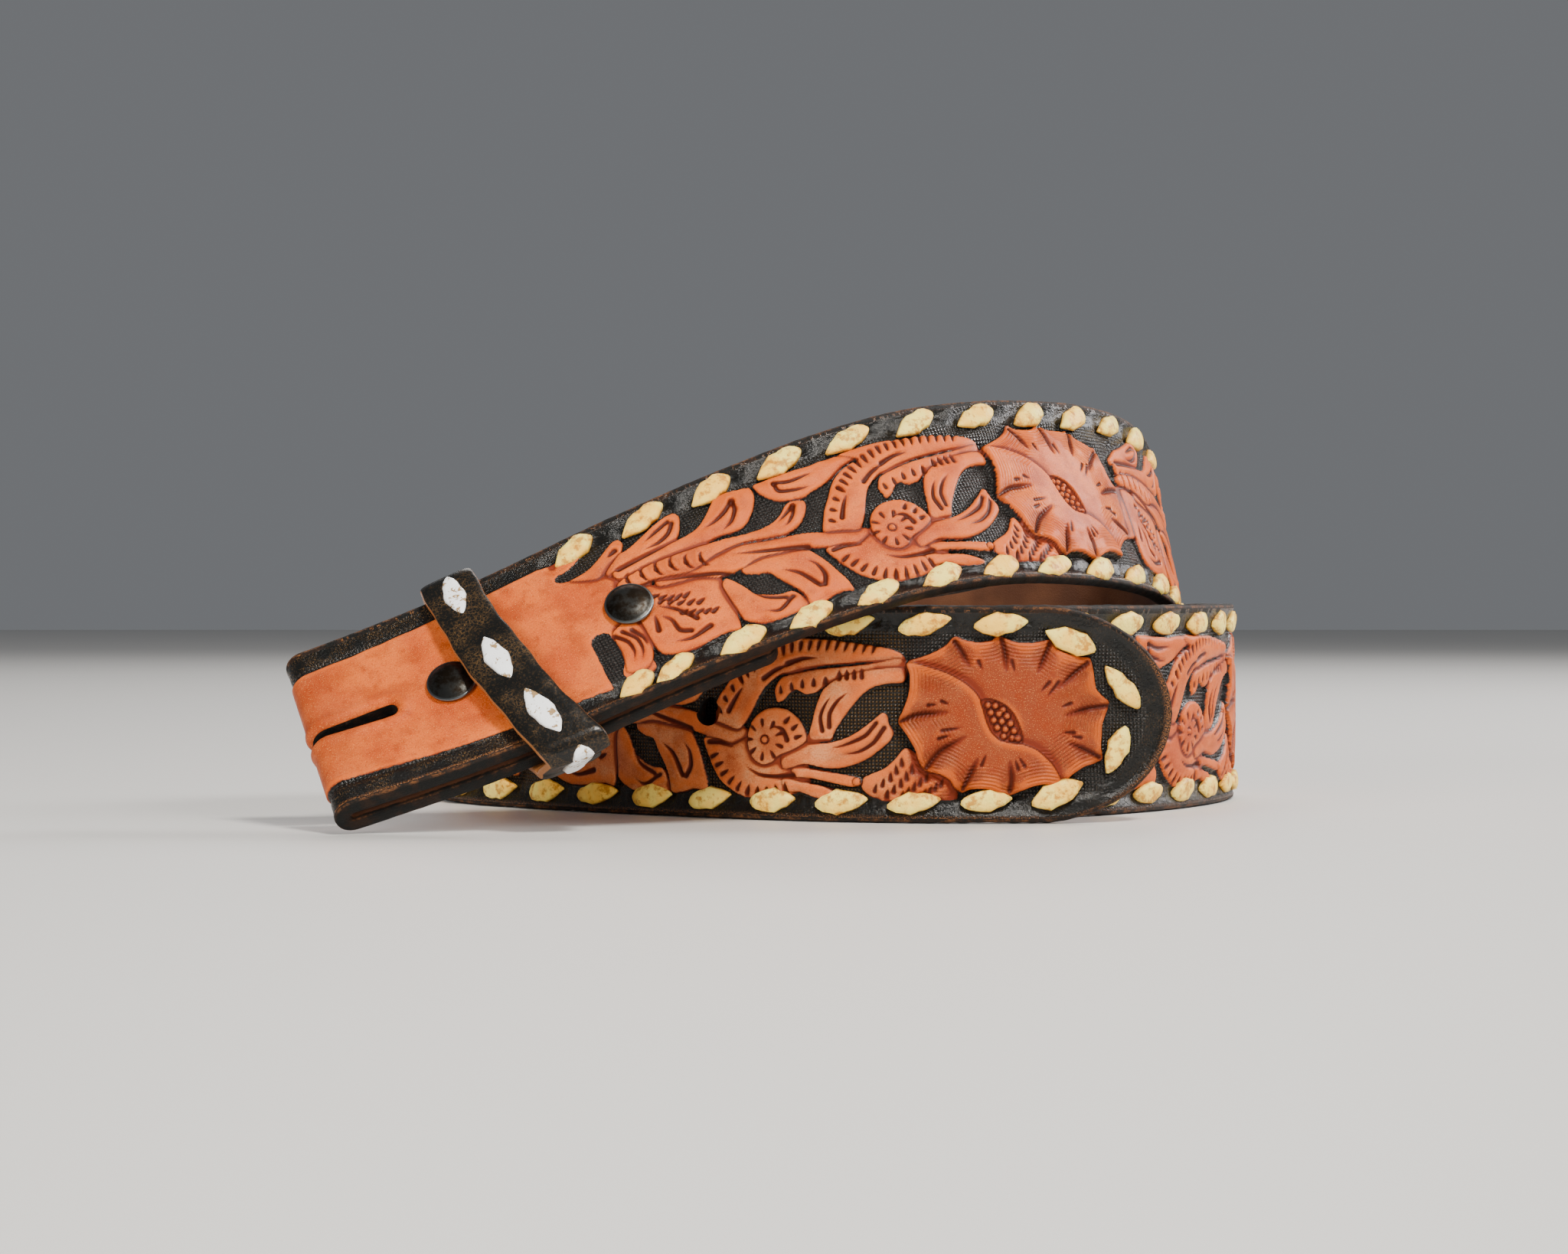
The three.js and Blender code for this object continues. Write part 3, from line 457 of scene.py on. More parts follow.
class Tooling:
    """Flat maps of the grain side: its relief, how far it is outside the tan, and the dark painted into its
    cuts, as their painted shade and antique stain.
    """

    CELL = 0.1
    START = -40.0
    END = 1060.0
    EDGE = 21.0
    GROUND = -0.75
    BORDER = -0.3

    def __init__(self):
        wide = round((self.END - self.START) / self.CELL) + 1
        high = round(2 * self.EDGE / self.CELL) + 1
        heights = np.linspace(-self.EDGE, self.EDGE, high)
        border = smoothstep(np.abs(heights), 13.2, 15.2)
        ground = self.GROUND + (self.BORDER - self.GROUND) * border
        self.height = np.repeat(ground[:, None], wide, axis=1).astype(np.float32)
        self.outside = np.full((high, wide), 9.0, np.float32)
        self.cut = np.zeros((high, wide), np.float32)
        self.hollow_shade_and_stain = None

    def window(self, line, margin):
        """The cells round a charted line, as index ranges from a flower's middle and as flat places."""
        low = np.floor((line.min(axis=0) - margin) / self.CELL).astype(int)
        high = np.ceil((line.max(axis=0) + margin) / self.CELL).astype(int)
        edge = round(self.EDGE / self.CELL)
        low[1] = max(low[1], -edge)
        high[1] = min(high[1], edge)
        s, v = np.meshgrid(
            np.arange(low[0], high[0] + 1) * self.CELL,
            np.arange(low[1], high[1] + 1) * self.CELL,
        )
        return low, high, s, v

    def cells(self, low, high, repeat):
        middle = round((FIRST_FLOWER + repeat * REPEAT - self.START) / self.CELL)
        edge = round(self.EDGE / self.CELL)
        return (slice(low[1] + edge, high[1] + edge + 1), slice(low[0] + middle, high[0] + middle + 1))

    def raise_shape(self, points, level, dome, repeats, bevel=0.42, reach=0.8, dyed=True):
        """A shape that stands up from what lies round it, which is pressed down along its outline."""
        line = smooth_line(points, closed=True)
        low, high, s, v = self.window(line, 2.2 + reach)
        away = signed_distance(line, s, v)
        rise = level + dome * (1 - np.exp(np.minimum(away, 0) / 1.1))
        over = smoothstep(-away, -0.3, 0.15)
        press = bevel * np.exp(-np.maximum(away, 0) / reach)
        # A dark line is painted along the outline: painted shade of the bevel, with antique stain.
        rim = 0.75 * np.exp(-((away - 0.12) / 0.2) ** 2)
        for repeat in repeats:
            at = self.cells(low, high, repeat)
            self.height[at] = rise * over + (self.height[at] - press) * (1 - over)
            self.cut[at] = np.maximum(self.cut[at] * (away > 0.05), rim)
            if dyed:
                self.outside[at] = np.minimum(self.outside[at], away)

    def press_shape(self, points, level, repeats):
        """A shape pressed down into the leather and dyed."""
        line = smooth_line(points, closed=True)
        low, high, s, v = self.window(line, 2.0)
        away = signed_distance(line, s, v)
        inside = smoothstep(-away, -0.15, 0.3)
        for repeat in repeats:
            at = self.cells(low, high, repeat)
            self.height[at] = level * inside + self.height[at] * (1 - inside)
            self.outside[at] = np.maximum(self.outside[at], -away)

    def carve(self, points, width, depth, repeats, lip=0.0, dark=1.0):
        """A knife cut that is deep at its first point and fades out at its last."""
        line = smooth_line(points, closed=False)
        low, high, s, v = self.window(line, 2.5 * width + 1.5)
        away, share = line_distance(line, s, v)
        fade = (1 - share) ** 0.6
        reach = np.maximum(width * fade, 0.05)
        groove = np.exp(-((away / reach) ** 2)) * np.minimum(1, 1.6 * fade)
        ridge = lip * np.exp(-(((away - 1.7 * width) / width) ** 2)) * fade
        for repeat in repeats:
            at = self.cells(low, high, repeat)
            self.height[at] += ridge - depth * groove
            # The groove is painted dark as well: painted shade, with antique stain.
            self.cut[at] = np.maximum(self.cut[at], dark * groove)

    def stamp(self, place, turn, length, width, depth, repeats):
        step = np.array([math.cos(turn), math.sin(turn)]) * length / 2
        ends = [np.array(place) + step, np.array(place) - step]
        self.carve(ends, width, depth, repeats, lip=0.08)

    def stamp_row(self, points, count, length, tilt, repeats):
        """Short stamps set square to a charted line."""
        line = smooth_line(points, closed=False)
        for place, heading in spaced(line, count):
            self.stamp(place, heading + math.pi / 2 + math.radians(tilt), 1.15 * length, 0.46, 0.42, repeats)

    def crescents(self, points, count, radius, repeats):
        line = smooth_line(points, closed=False)
        for place, heading in spaced(line, count):
            arc = [
                place + radius * np.array([math.cos(turn), math.sin(turn)]) * (0.8, 1.0)
                for turn in np.radians([70, 35, 0, -35, -70])
            ]
            self.carve(arc[:3][::-1], 0.36, 0.4, repeats, lip=0.1)
            self.carve(arc[2:], 0.36, 0.4, repeats, lip=0.1)

    def press_lace(self, lace):
        """The dyed leather gives way round a lace, most at the slits that its ends go into."""
        length, across, slant, long, *_ = lace
        middle = np.array([length - FIRST_FLOWER, across])
        heading = np.array([math.cos(math.radians(slant)), math.sin(math.radians(slant))])
        line = np.array([middle - heading * long / 2, middle + heading * long / 2])
        low, high, s, v = self.window(line, 4.0)
        away, share = line_distance(line, s, v)
        ends = np.minimum(
            np.hypot(s - line[0, 0], v - line[0, 1]),
            np.hypot(s - line[1, 0], v - line[1, 1]),
        )
        at = self.cells(low, high, 0)
        self.height[at] -= 0.3 * smoothstep(-away, -2.9, -1.6) + 0.45 * np.exp(-((ends / 0.9) ** 2))

    def dot(self, place, radius, rise, repeats, ring=0.25):
        """A round seed or eyelet with a pressed ring round it."""
        line = np.array([place, place])
        low, high, s, v = self.window(line, radius + 1.2)
        away = np.hypot(s - place[0], v - place[1])
        ball = np.sqrt(np.maximum(0, 1 - (away / radius) ** 2))
        groove = np.exp(-(((away - radius) / 0.18) ** 2))
        for repeat in repeats:
            at = self.cells(low, high, repeat)
            self.height[at] += rise * ball - ring * groove
            # The ring is painted dark: painted shade, with antique stain.
            self.cut[at] = np.maximum(self.cut[at] * (away > radius), 0.9 * groove)

    def find_hollows(self):
        """Where shade is painted, together with old wax and dirt: places that lie below their surroundings or
        beside cuts are painted darker, and raised crests come out below zero and are painted lighter.
        """
        narrow_reach, broad_reach, stain_reach = 9, 24, 5
        near = broad = self.height
        stain = self.cut
        for _ in range(2):
            for axis in (0, 1):
                near = running_mean(near, narrow_reach, axis)
                broad = running_mean(broad, broad_reach, axis)
                stain = running_mean(stain, stain_reach, axis)
        self.hollow_shade_and_stain = 0.85 * near + 0.3 * broad - 1.15 * self.height + 0.25 * stain

    def sample(self, table, length, across):
        """The map's value between its cells, at places on the flat strap."""
        column = np.clip((length - self.START) / self.CELL, 0, table.shape[1] - 1.001)
        row = np.clip((across + self.EDGE) / self.CELL, 0, table.shape[0] - 1.001)
        c, r = column.astype(int), row.astype(int)
        fc, fr = column - c, row - r
        near = table[r, c] * (1 - fc) + table[r, c + 1] * fc
        far = table[r + 1, c] * (1 - fc) + table[r + 1, c + 1] * fc
        return near * (1 - fr) + far * fr


def running_mean(table, reach, axis):
    padding = [(0, 0), (0, 0)]
    padding[axis] = (reach + 1, reach)
    total = np.cumsum(np.pad(table, padding, mode="edge").astype(np.float64), axis=axis)
    size = table.shape[axis]
    ahead = np.take(total, range(2 * reach + 1, 2 * reach + 1 + size), axis=axis)
    behind = np.take(total, range(size), axis=axis)
    return ((ahead - behind) / (2 * reach + 1)).astype(np.float32)


def smooth_line(points, closed):
    """A fine line through charted points."""
    points = np.array(points, float)
    if closed:
        around = np.vstack([points[-1], points, points[0], points[1]])
    else:
        around = np.vstack([2 * points[0] - points[1], points, 2 * points[-1] - points[-2]])
    t = np.linspace(0, 1, 5)[:-1, None]
    pieces = []
    for a, b, c, d in zip(around, around[1:], around[2:], around[3:]):
        slope_in, slope_out = (c - a) * 0.4, (d - b) * 0.4
        pieces.append(
            (2 * t**3 - 3 * t**2 + 1) * b
            + (t**3 - 2 * t**2 + t) * slope_in
            + (3 * t**2 - 2 * t**3) * c
            + (t**3 - t**2) * slope_out
        )
    pieces.append(pieces[0][:1] if closed else points[-1:])
    return np.vstack(pieces)


def line_distance(line, s, v):
    """Distance to a line, and the share of the line's length at its nearest place."""
    lengths = np.concatenate([[0], np.cumsum(np.linalg.norm(np.diff(line, axis=0), axis=1))])
    best = np.full(s.shape, 1e9)
    share = np.zeros(s.shape)
    for (a, b), (c, d), start, end in zip(line, line[1:], lengths, lengths[1:]):
        span = max((c - a) ** 2 + (d - b) ** 2, 1e-9)
        t = np.clip(((s - a) * (c - a) + (v - b) * (d - b)) / span, 0, 1)
        square = (s - a - t * (c - a)) ** 2 + (v - b - t * (d - b)) ** 2
        nearer = square < best
        best = np.where(nearer, square, best)
        share = np.where(nearer, (start + t * (end - start)) / lengths[-1], share)
    return np.sqrt(best), share


def signed_distance(line, s, v):
    """Distance to a closed outline, negative inside it."""
    away, _ = line_distance(line, s, v)
    inside = np.zeros(s.shape, bool)
    for (a, b), (c, d) in zip(line, line[1:]):
        if b != d:
            crosses = ((b > v) != (d > v)) & (s < (c - a) * (v - b) / (d - b) + a)
            inside ^= crosses
    return np.where(inside, -away, away)


def spaced(line, count):
    """Evenly spaced places on a line, each with its heading."""
    lengths = np.concatenate([[0], np.cumsum(np.linalg.norm(np.diff(line, axis=0), axis=1))])
    for at in np.linspace(0, lengths[-1], count):
        k = min(int(np.searchsorted(lengths, at, side="right")) - 1, len(line) - 2)
        step = line[k + 1] - line[k]
        share = (at - lengths[k]) / max(lengths[k + 1] - lengths[k], 1e-9)
        yield line[k] + share * step, math.atan2(step[1], step[0])


def lace_places():
    """Middle, slant, length and turn of each lace that shows on the grain side, on the flat strap."""
    places = [
        (18.3, 12.7, 24, 9.4, -1), (9, 4.6, 52, 9.2, -1), (10, -6.3, -60, 9.2, -1),
        (20.6, -13.8, -20, 9.8, 1), (33, -15, -2, 9.4, 1),
    ]
    for length in lace_row(30.5, 898.0):
        front = length > FRONT_STRAND
        height = 15.7 - 0.2 * smoothstep(length, 60, 300)
        places.append((length, height, -14 if front else -4, 9.5, -1 if front else 1))
    for length in lace_row(45.5, 893.5):
        front = length > FRONT_STRAND
        height = -15.4 - smoothstep(length, 650, 780)
        places.append((length, height, -10 if front else -3, 9.3, -1 if front else 1))
    places.append((900.6, -16.3, -8, 7.8, -1))
    return places


def lace_row(first, last):
    """Lengths of the laces along one edge, from the first one's middle to the last one's."""
    return [first + (last - first) * k / (LACES_IN_ROW - 1) for k in range(LACES_IN_ROW)]


def tool_leather():
    tooling = Tooling()
    every = range(REPEATS)
    middle = range(REPEATS - 1)
    tooling.raise_shape(ROOT, -0.2, 0.15, middle)
    tooling.raise_shape(PLAIN_END, 0.0, 0.0, [LAST], bevel=0.1)
    tooling.raise_shape(LEAF_SIX, -0.12, 0.14, [LAST])
    tooling.raise_shape(LEAF_ONE, -0.1, 0.14, [LAST])
    for points, level, dome in SCROLL_SHAPES:
        tooling.raise_shape(points, level, dome, every)
    for points in VEINS:
        tooling.carve(points, 0.5, 0.45, every, lip=0.12)
    for points in LAST_VEINS:
        tooling.carve(points, 0.5, 0.4, [LAST], lip=0.12)
    for points, count, length, tilt in STAMP_ROWS:
        tooling.stamp_row(points, count, length, tilt, every)
    for points, count, radius in CRESCENT_ROWS:
        tooling.crescents(points, count, radius, every)
    for points in SCALE_ROWS:
        tooling.stamp_row(points, 5, 1.5, 50, every)
    for turn in np.radians(np.arange(0, 360, 40)):
        ray = np.array([math.cos(turn), math.sin(turn)])
        tooling.stamp(SCROLL_EYE + 2.7 * ray, turn, 1.5, 0.4, 0.35, every)
    tooling.dot(SCROLL_EYE, 0.7, 0.3, every, ring=0.35)
    tooling.dot(SMALL_EYE, 0.8, 0.3, every)
    tooling.press_shape(UPPER_MARK, -0.5, [LAST])
    tooling.press_shape(LOWER_MARK, -0.5, [LAST])
    tool_flower(tooling, every)
    for place in lace_places():
        tooling.press_lace(place)
    return tooling


def tool_flower(tooling, repeats):
    tooling.raise_shape(FLOWER, -0.12, 0.2, repeats, bevel=0.4)
    tooling.raise_shape(FRONT_PETALS, 0.22, 0.0, repeats, bevel=0.75, reach=2.0)
    # Each petal cut has a wide shallow groove, painted darker as painted shade, and a narrow deep one.
    for points in PETAL_CUTS:
        tooling.carve(points, 2.3, 0.45, repeats, dark=0.55)
        tooling.carve(points, 0.42, 0.45, repeats, lip=0.16)
    for points in SHORT_CUTS:
        tooling.carve(points, 0.36, 0.3, repeats, lip=0.08)
    tooling.raise_shape(SEED_BED, -0.6, 0.0, repeats, bevel=-0.16)
    for seed in SEEDS:
        tooling.dot(seed, 0.66, 0.6, repeats, ring=0.15)


tooling = tool_leather()
tooling.find_hollows()


class Finish:
    """A material in the making, whose nodes are added with short calls and joined by their sockets."""

    def __init__(self, name):
        self.material = bpy.data.materials.new(name)
        self.material.use_nodes = True
        self.nodes = self.material.node_tree.nodes
        self.links = self.material.node_tree.links
        self.shader = self.nodes["Principled BSDF"]

    def join(self, value, socket):
        if isinstance(value, bpy.types.NodeSocket):
            self.links.new(value, socket)
        else:
            socket.default_value = value

    def add(self, kind, inputs, **settings):
        node = self.nodes.new(kind)
        for name, value in settings.items():
            setattr(node, name, value)
        for key, value in inputs.items():
            self.join(value, node.inputs[key])
        return node

    def math(self, operation, a, b=0.0):
        return self.add("ShaderNodeMath", {0: a, 1: b}, operation=operation).outputs[0]

    def span(self, value, start, end, low=0.0, high=1.0):
        inputs = {"Value": value, "From Min": start, "From Max": end, "To Min": low, "To Max": high}
        return self.add("ShaderNodeMapRange", inputs, interpolation_type="SMOOTHSTEP").outputs[0]

    def mix(self, share, a, b, blend="MIX"):
        node = self.add("ShaderNodeMix", {0: share}, data_type="RGBA", blend_type=blend)
        self.join(a, node.inputs[6])
        self.join(b, node.inputs[7])
        return node.outputs[2]

    def stretched(self, vector, scale):
        return self.add("ShaderNodeMapping", {"Vector": vector, "Scale": scale}).outputs[0]

    def noise(self, vector, scale, detail=3.0, roughness=0.55):
        inputs = {"Vector": vector, "Scale": scale, "Detail": detail, "Roughness": roughness}
        return self.add("ShaderNodeTexNoise", inputs).outputs["Fac"]

    def cracks(self, vector, scale):
        inputs = {"Vector": vector, "Scale": scale}
        node = self.add("ShaderNodeTexVoronoi", inputs, feature="DISTANCE_TO_EDGE")
        return node.outputs["Distance"]

    def attribute(self, name):
        return self.add("ShaderNodeAttribute", {}, attribute_name=name).outputs["Fac"]

    def object_place(self):
        return self.add("ShaderNodeTexCoord", {}).outputs["Object"]

    def flat_place(self):
        return self.add("ShaderNodeUVMap", {}, uv_map="flat").outputs[0]

    def bump(self, height, distance, strength=1.0, normal=None):
        inputs = {"Height": height, "Distance": distance, "Strength": strength}
        if normal is not None:
            inputs["Normal"] = normal
        return self.add("ShaderNodeBump", inputs).outputs[0]

    def finish(self, colour, roughness, normal, **others):
        self.join(colour, self.shader.inputs["Base Color"])
        self.join(roughness, self.shader.inputs["Roughness"])
        self.join(normal, self.shader.inputs["Normal"])
        for name, value in others.items():
            self.join(value, self.shader.inputs[name.replace("_", " ")])
        return self.material


# Colours, as linear light
TAN = (0.50, 0.061, 0.003, 1)
TAN_BRIGHT = (0.70, 0.128, 0.010, 1)
TAN_DEEP = (0.25, 0.026, 0.003, 1)
TAN_SPECK = (0.95, 0.42, 0.13, 1)
TAN_WORN = (0.60, 0.25, 0.105, 1)
# Red-brown of aged leather, also painted into hollows as painted shade.
RUSSET = (0.17, 0.024, 0.010, 1)
# Dark brown painted in cuts: painted shade with antique stain.
CUT_SHADE_AND_STAIN = (0.05, 0.0075, 0.003, 1)
DYE_BLACK = (0.005, 0.005, 0.0045, 1)
# Lighter dye for the matting dots' tops: a painted highlight.
DYE_LIT = (0.065, 0.055, 0.05, 1)
WORN_DYE = (0.15, 0.08, 0.027, 1)
RAW_EDGE = (0.32, 0.12, 0.035, 1)
RAW_DARK = (0.035, 0.014, 0.006, 1)
FLESH = (0.15, 0.055, 0.022, 1)
FLESH_DARK = (0.075, 0.025, 0.01, 1)
LACE_CREAM = (1.0, 0.58, 0.08, 1)
LACE_PALE = (1.0, 0.78, 0.17, 1)
LACE_SOILED = (0.46, 0.15, 0.01, 1)
LACE_WHITE = (0.95, 0.96, 0.95, 1)
LACE_CHIPPED = (0.30, 0.17, 0.05, 1)
GUNMETAL = (0.075, 0.075, 0.07, 1)
TARNISH = (0.018, 0.011, 0.006, 1)
# Lighter steel for the caps' rims: rubbed wear, and a painted highlight.
RUBBED_STEEL_AND_HIGHLIGHT = (0.20, 0.22, 0.23, 1)

# The flat map of the strap has one unit for each 100 mm
FLAT_UNIT = 100.0


def tooled_finish():
    f = Finish("tooled_leather")
    flat = f.flat_place()
    outside = f.attribute("outside_tan")
    cut = f.attribute("cut")
    aged = f.attribute("aged")
    scuffed = f.attribute("scuffed")
    hollow_shade_and_stain = f.attribute("hollow_shade_and_stain")
    edge_away = f.attribute("edge_away")
    border = f.span(edge_away, 5.8, 4.2)
    place = f.add("ShaderNodeSeparateXYZ", {"Vector": flat})
    length = f.math("MULTIPLY", place.outputs[0], FLAT_UNIT)
    across = f.math("MULTIPLY", place.outputs[1], FLAT_UNIT)
    bleed = f.math("MULTIPLY", f.math("SUBTRACT", f.noise(flat, 130, 3), 0.5), 0.5)
    black = f.span(f.math("ADD", outside, bleed), -0.05, 0.1)

    tan = f.mix(f.span(f.noise(flat, 9, 4), 0.35, 0.66), TAN, TAN_BRIGHT)
    tan = f.mix(aged, tan, RUSSET)
    worn_high = f.math("MULTIPLY", f.span(f.noise(flat, 14, 5, 0.65), 0.44, 0.62), f.span(hollow_shade_and_stain, 0.06, -0.1))
    worn_high = f.math("MULTIPLY", worn_high, f.span(f.noise(flat, 330, 4, 0.75), 0.42, 0.6, 0.2, 1.0))
    tan = f.mix(f.math("MULTIPLY", scuffed, f.math("ADD", 0.5, worn_high)), tan, TAN_WORN)
    tan = f.mix(f.span(f.noise(flat, 300, 3), 0.48, 0.72, 0.0, 0.5), tan, TAN_DEEP)
    tan = f.mix(f.span(f.noise(flat, 46, 4), 0.52, 0.74, 0.0, 0.5), tan, TAN_DEEP)
    tan = f.mix(f.span(f.noise(flat, 15, 3), 0.44, 0.64, 0.0, 0.42), tan, TAN_DEEP)
    scuffs = f.noise(f.stretched(flat, (1.0, 3.2, 1.0)), 60, 5, 0.7)
    tan = f.mix(f.span(scuffs, 0.66, 0.76, 0.0, 0.35), tan, TAN_BRIGHT)
    tan = f.mix(f.span(f.noise(flat, 520, 2), 0.57, 0.72, 0.0, 0.5), tan, TAN_SPECK)
    # Painted light from the relief: crests painted lighter as a painted highlight with wear, hollows and the
    # leather round cuts painted darker as painted shade with antique stain.
    tan = f.mix(f.span(hollow_shade_and_stain, -0.05, -0.2, 0.0, 0.45), tan, TAN_BRIGHT)
    tan = f.mix(f.span(hollow_shade_and_stain, -0.01, 0.16, 0.0, 0.95), tan, RUSSET)
    # Cuts painted dark brown: painted shade in the cuts, with antique stain.
    tan = f.mix(f.span(cut, 0.15, 0.9, 0.0, 0.94), tan, CUT_SHADE_AND_STAIN)

    dots = matting(f, length, across)
    matted = f.math("MULTIPLY", f.math("SUBTRACT", 1.0, border), f.span(outside, 0.05, 0.45))
    # The matting dots' tops are painted lighter, a painted highlight, and worn brown where the leather is
    # scuffed.
    lit = f.math("MULTIPLY", f.math("MULTIPLY", dots, matted), 0.8)
    dye = f.mix(lit, DYE_BLACK, f.mix(f.span(scuffed, 0.2, 0.5, 0.0, 0.8), DYE_LIT, WORN_DYE))
    handled = f.math("MAXIMUM", f.span(length, 896.0, 925.0, 0.2, 1.0), f.span(length, 12.0, 2.0, 0.0, 0.5))
    fibres = f.span(f.noise(f.stretched(flat, (1.0, 0.4, 1.0)), 480, 5, 0.8), 0.52, 0.62)
    rubbed = f.math("MULTIPLY", fibres, f.span(f.noise(flat, 26, 3), 0.38, 0.6))
    wear = f.math("MULTIPLY", rubbed, f.math("MULTIPLY", handled, border))
    rim = f.math("MULTIPLY", f.span(edge_away, 1.7, 0.8), f.span(f.noise(flat, 380, 3, 0.7), 0.46, 0.6))
    dye = f.mix(f.math("MULTIPLY", wear, 0.85), dye, WORN_DYE)
    dye = f.mix(f.math("MULTIPLY", rim, f.math("ADD", 0.3, f.math("MULTIPLY", handled, 0.6))), dye, RAW_EDGE)
    colour = f.mix(black, tan, dye)

    petals = f.math("MULTIPLY", petal_lines(f, length, across, outside), f.span(outside, -0.1, -0.7))
    petals = f.math("MULTIPLY", petals, f.span(f.noise(flat, 22, 2), 0.36, 0.54))
    pebbles = f.math("MULTIPLY", f.noise(flat, 190, 2, 0.5), black)
    normal = f.bump(f.cracks(flat, 230), 0.00008, 0.4)
    normal = f.bump(f.noise(flat, 460, 4, 0.65), 0.00012, 0.6, normal)
    normal = f.bump(pebbles, 0.00025, 0.6, normal)
    normal = f.bump(f.math("MULTIPLY", dots, matted), 0.0004, 0.9, normal)
    normal = f.bump(petals, 0.00011, 0.8, normal)
    roughness = f.span(f.noise(flat, 30, 4), 0.3, 0.7, 0.34, 0.46)
    roughness = f.math("ADD", roughness, f.math("MULTIPLY", black, -0.15))
    gloss = f.math("ADD", 0.16, f.math("MULTIPLY", black, 0.18))
    return f.finish(colour, roughness, normal, Specular_IOR_Level=gloss)


def matting(f, length, across):
    """The close rows of dots that a matting tool leaves in the black ground, each from 0 to 1."""
    pitch = 0.64
    turns = 2 * math.pi / pitch
    rows = f.math("SINE", f.math("MULTIPLY", length, turns))
    columns = f.math("SINE", f.math("MULTIPLY", across, turns))
    dots = f.math("MULTIPLY", f.math("ADD", rows, 1.0), f.math("ADD", columns, 1.0))
    return f.math("MULTIPLY", dots, 0.25)


def petal_lines(f, length, across, outside):
    """Fine lines across each petal, along the flower's rim."""
    pitch, inner, outer, past_rim = 0.62, 8.0, 11.0, 19.0
    start = REPEAT / 2 - FIRST_FLOWER
    along = f.math("SUBTRACT", f.math("MODULO", f.math("ADD", length, start), REPEAT), REPEAT / 2)
    away = f.math("SQRT", f.math("ADD", f.math("POWER", along, 2.0), f.math("POWER", across, 2.0)))
    lines = f.math("SINE", f.math("MULTIPLY", outside, 2 * math.pi / pitch))
    near = f.math("MULTIPLY", f.span(away, inner, outer), f.span(away, past_rim, past_rim - 3.0))
    near = f.math("MULTIPLY", near, f.span(length, PLAIN_START, PLAIN_START - 5.0))
    return f.math("MULTIPLY", lines, near)


def edge_finish():
    """Dark dyed edge with fuzzy raw corners."""
    f = Finish("raw_edge")
    place = f.object_place()
    fibres = f.noise(place, 2600, 4, 0.7)
    patches = f.noise(place, 420, 4)
    turn = f.math("ADD", f.attribute("edge_turn"), f.math("MULTIPLY", f.math("SUBTRACT", fibres, 0.5), 0.4))
    front = f.math("MULTIPLY", f.span(turn, 0.03, 0.1), f.span(turn, 0.3, 0.2))
    back = f.math("MULTIPLY", f.span(turn, 0.72, 0.8), f.span(turn, 1.0, 0.9))
    corner = f.math("MAXIMUM", front, f.math("MULTIPLY", back, 0.5))
    corner = f.math("MULTIPLY", corner, f.span(patches, 0.4, 0.62, 0.04, 0.42))
    colour = f.mix(f.span(patches, 0.45, 0.65, 0.0, 0.5), DYE_BLACK, RAW_DARK)
    colour = f.mix(corner, colour, f.mix(f.span(fibres, 0.35, 0.65), RAW_DARK, RAW_EDGE))
    return f.finish(colour, 0.6, f.bump(fibres, 0.0003, 0.8), Specular_IOR_Level=0.25)


def flesh_finish():
    f = Finish("flesh_side")
    place = f.object_place()
    nap = f.noise(place, 3200, 4, 0.7)
    colour = f.mix(f.span(f.noise(place, 60, 4), 0.35, 0.7), FLESH_DARK, FLESH)
    colour = f.mix(f.span(nap, 0.5, 0.8, 0.0, 0.35), colour, FLESH_DARK)
    return f.finish(colour, 0.9, f.bump(nap, 0.00022, 0.8), Sheen_Weight=0.1)


def lace_finish(name, clean, pale, soiled, spots):
    f = Finish(name)
    place = f.object_place()
    mottle = f.noise(place, 520, 5, 0.7)
    colour = f.mix(f.span(f.noise(place, 170, 3), 0.38, 0.62), clean, pale)
    colour = f.mix(f.span(mottle, *spots), colour, soiled)
    colour = f.mix(f.span(f.attribute("rim"), 0.86, 1.0, 0.0, 0.6), colour, soiled)
    normal = f.bump(f.noise(place, 620, 3), 0.0005, 0.6)
    normal = f.bump(f.noise(place, 2400, 3), 0.0001, 0.5, normal)
    return f.finish(colour, 0.45, normal, Specular_IOR_Level=0.18)


def black_leather_finish():
    f = Finish("dyed_leather")
    place = f.object_place()
    crackle = f.cracks(place, 1500)
    patches = f.noise(place, 150, 4)
    rubbed = f.span(f.noise(place, 2300, 4, 0.78), 0.53, 0.62)
    wear = f.math("MULTIPLY", rubbed, f.span(patches, 0.36, 0.7, 0.12, 0.75))
    worn = f.math("MULTIPLY", f.span(crackle, 0.0, 0.07, 1.0, 0.0), f.span(patches, 0.44, 0.6))
    wear = f.math("MAXIMUM", f.math("MULTIPLY", wear, 0.85), f.math("MULTIPLY", worn, 0.5))
    colour = f.mix(wear, DYE_BLACK, WORN_DYE)
    colour = f.mix(f.span(f.attribute("rim"), 0.3, 0.6), colour, RAW_EDGE)
    normal = f.bump(f.noise(place, 900, 4), 0.00012, 0.6)
    return f.finish(colour, f.span(patches, 0.3, 0.7, 0.24, 0.38), normal, Specular_IOR_Level=0.35)


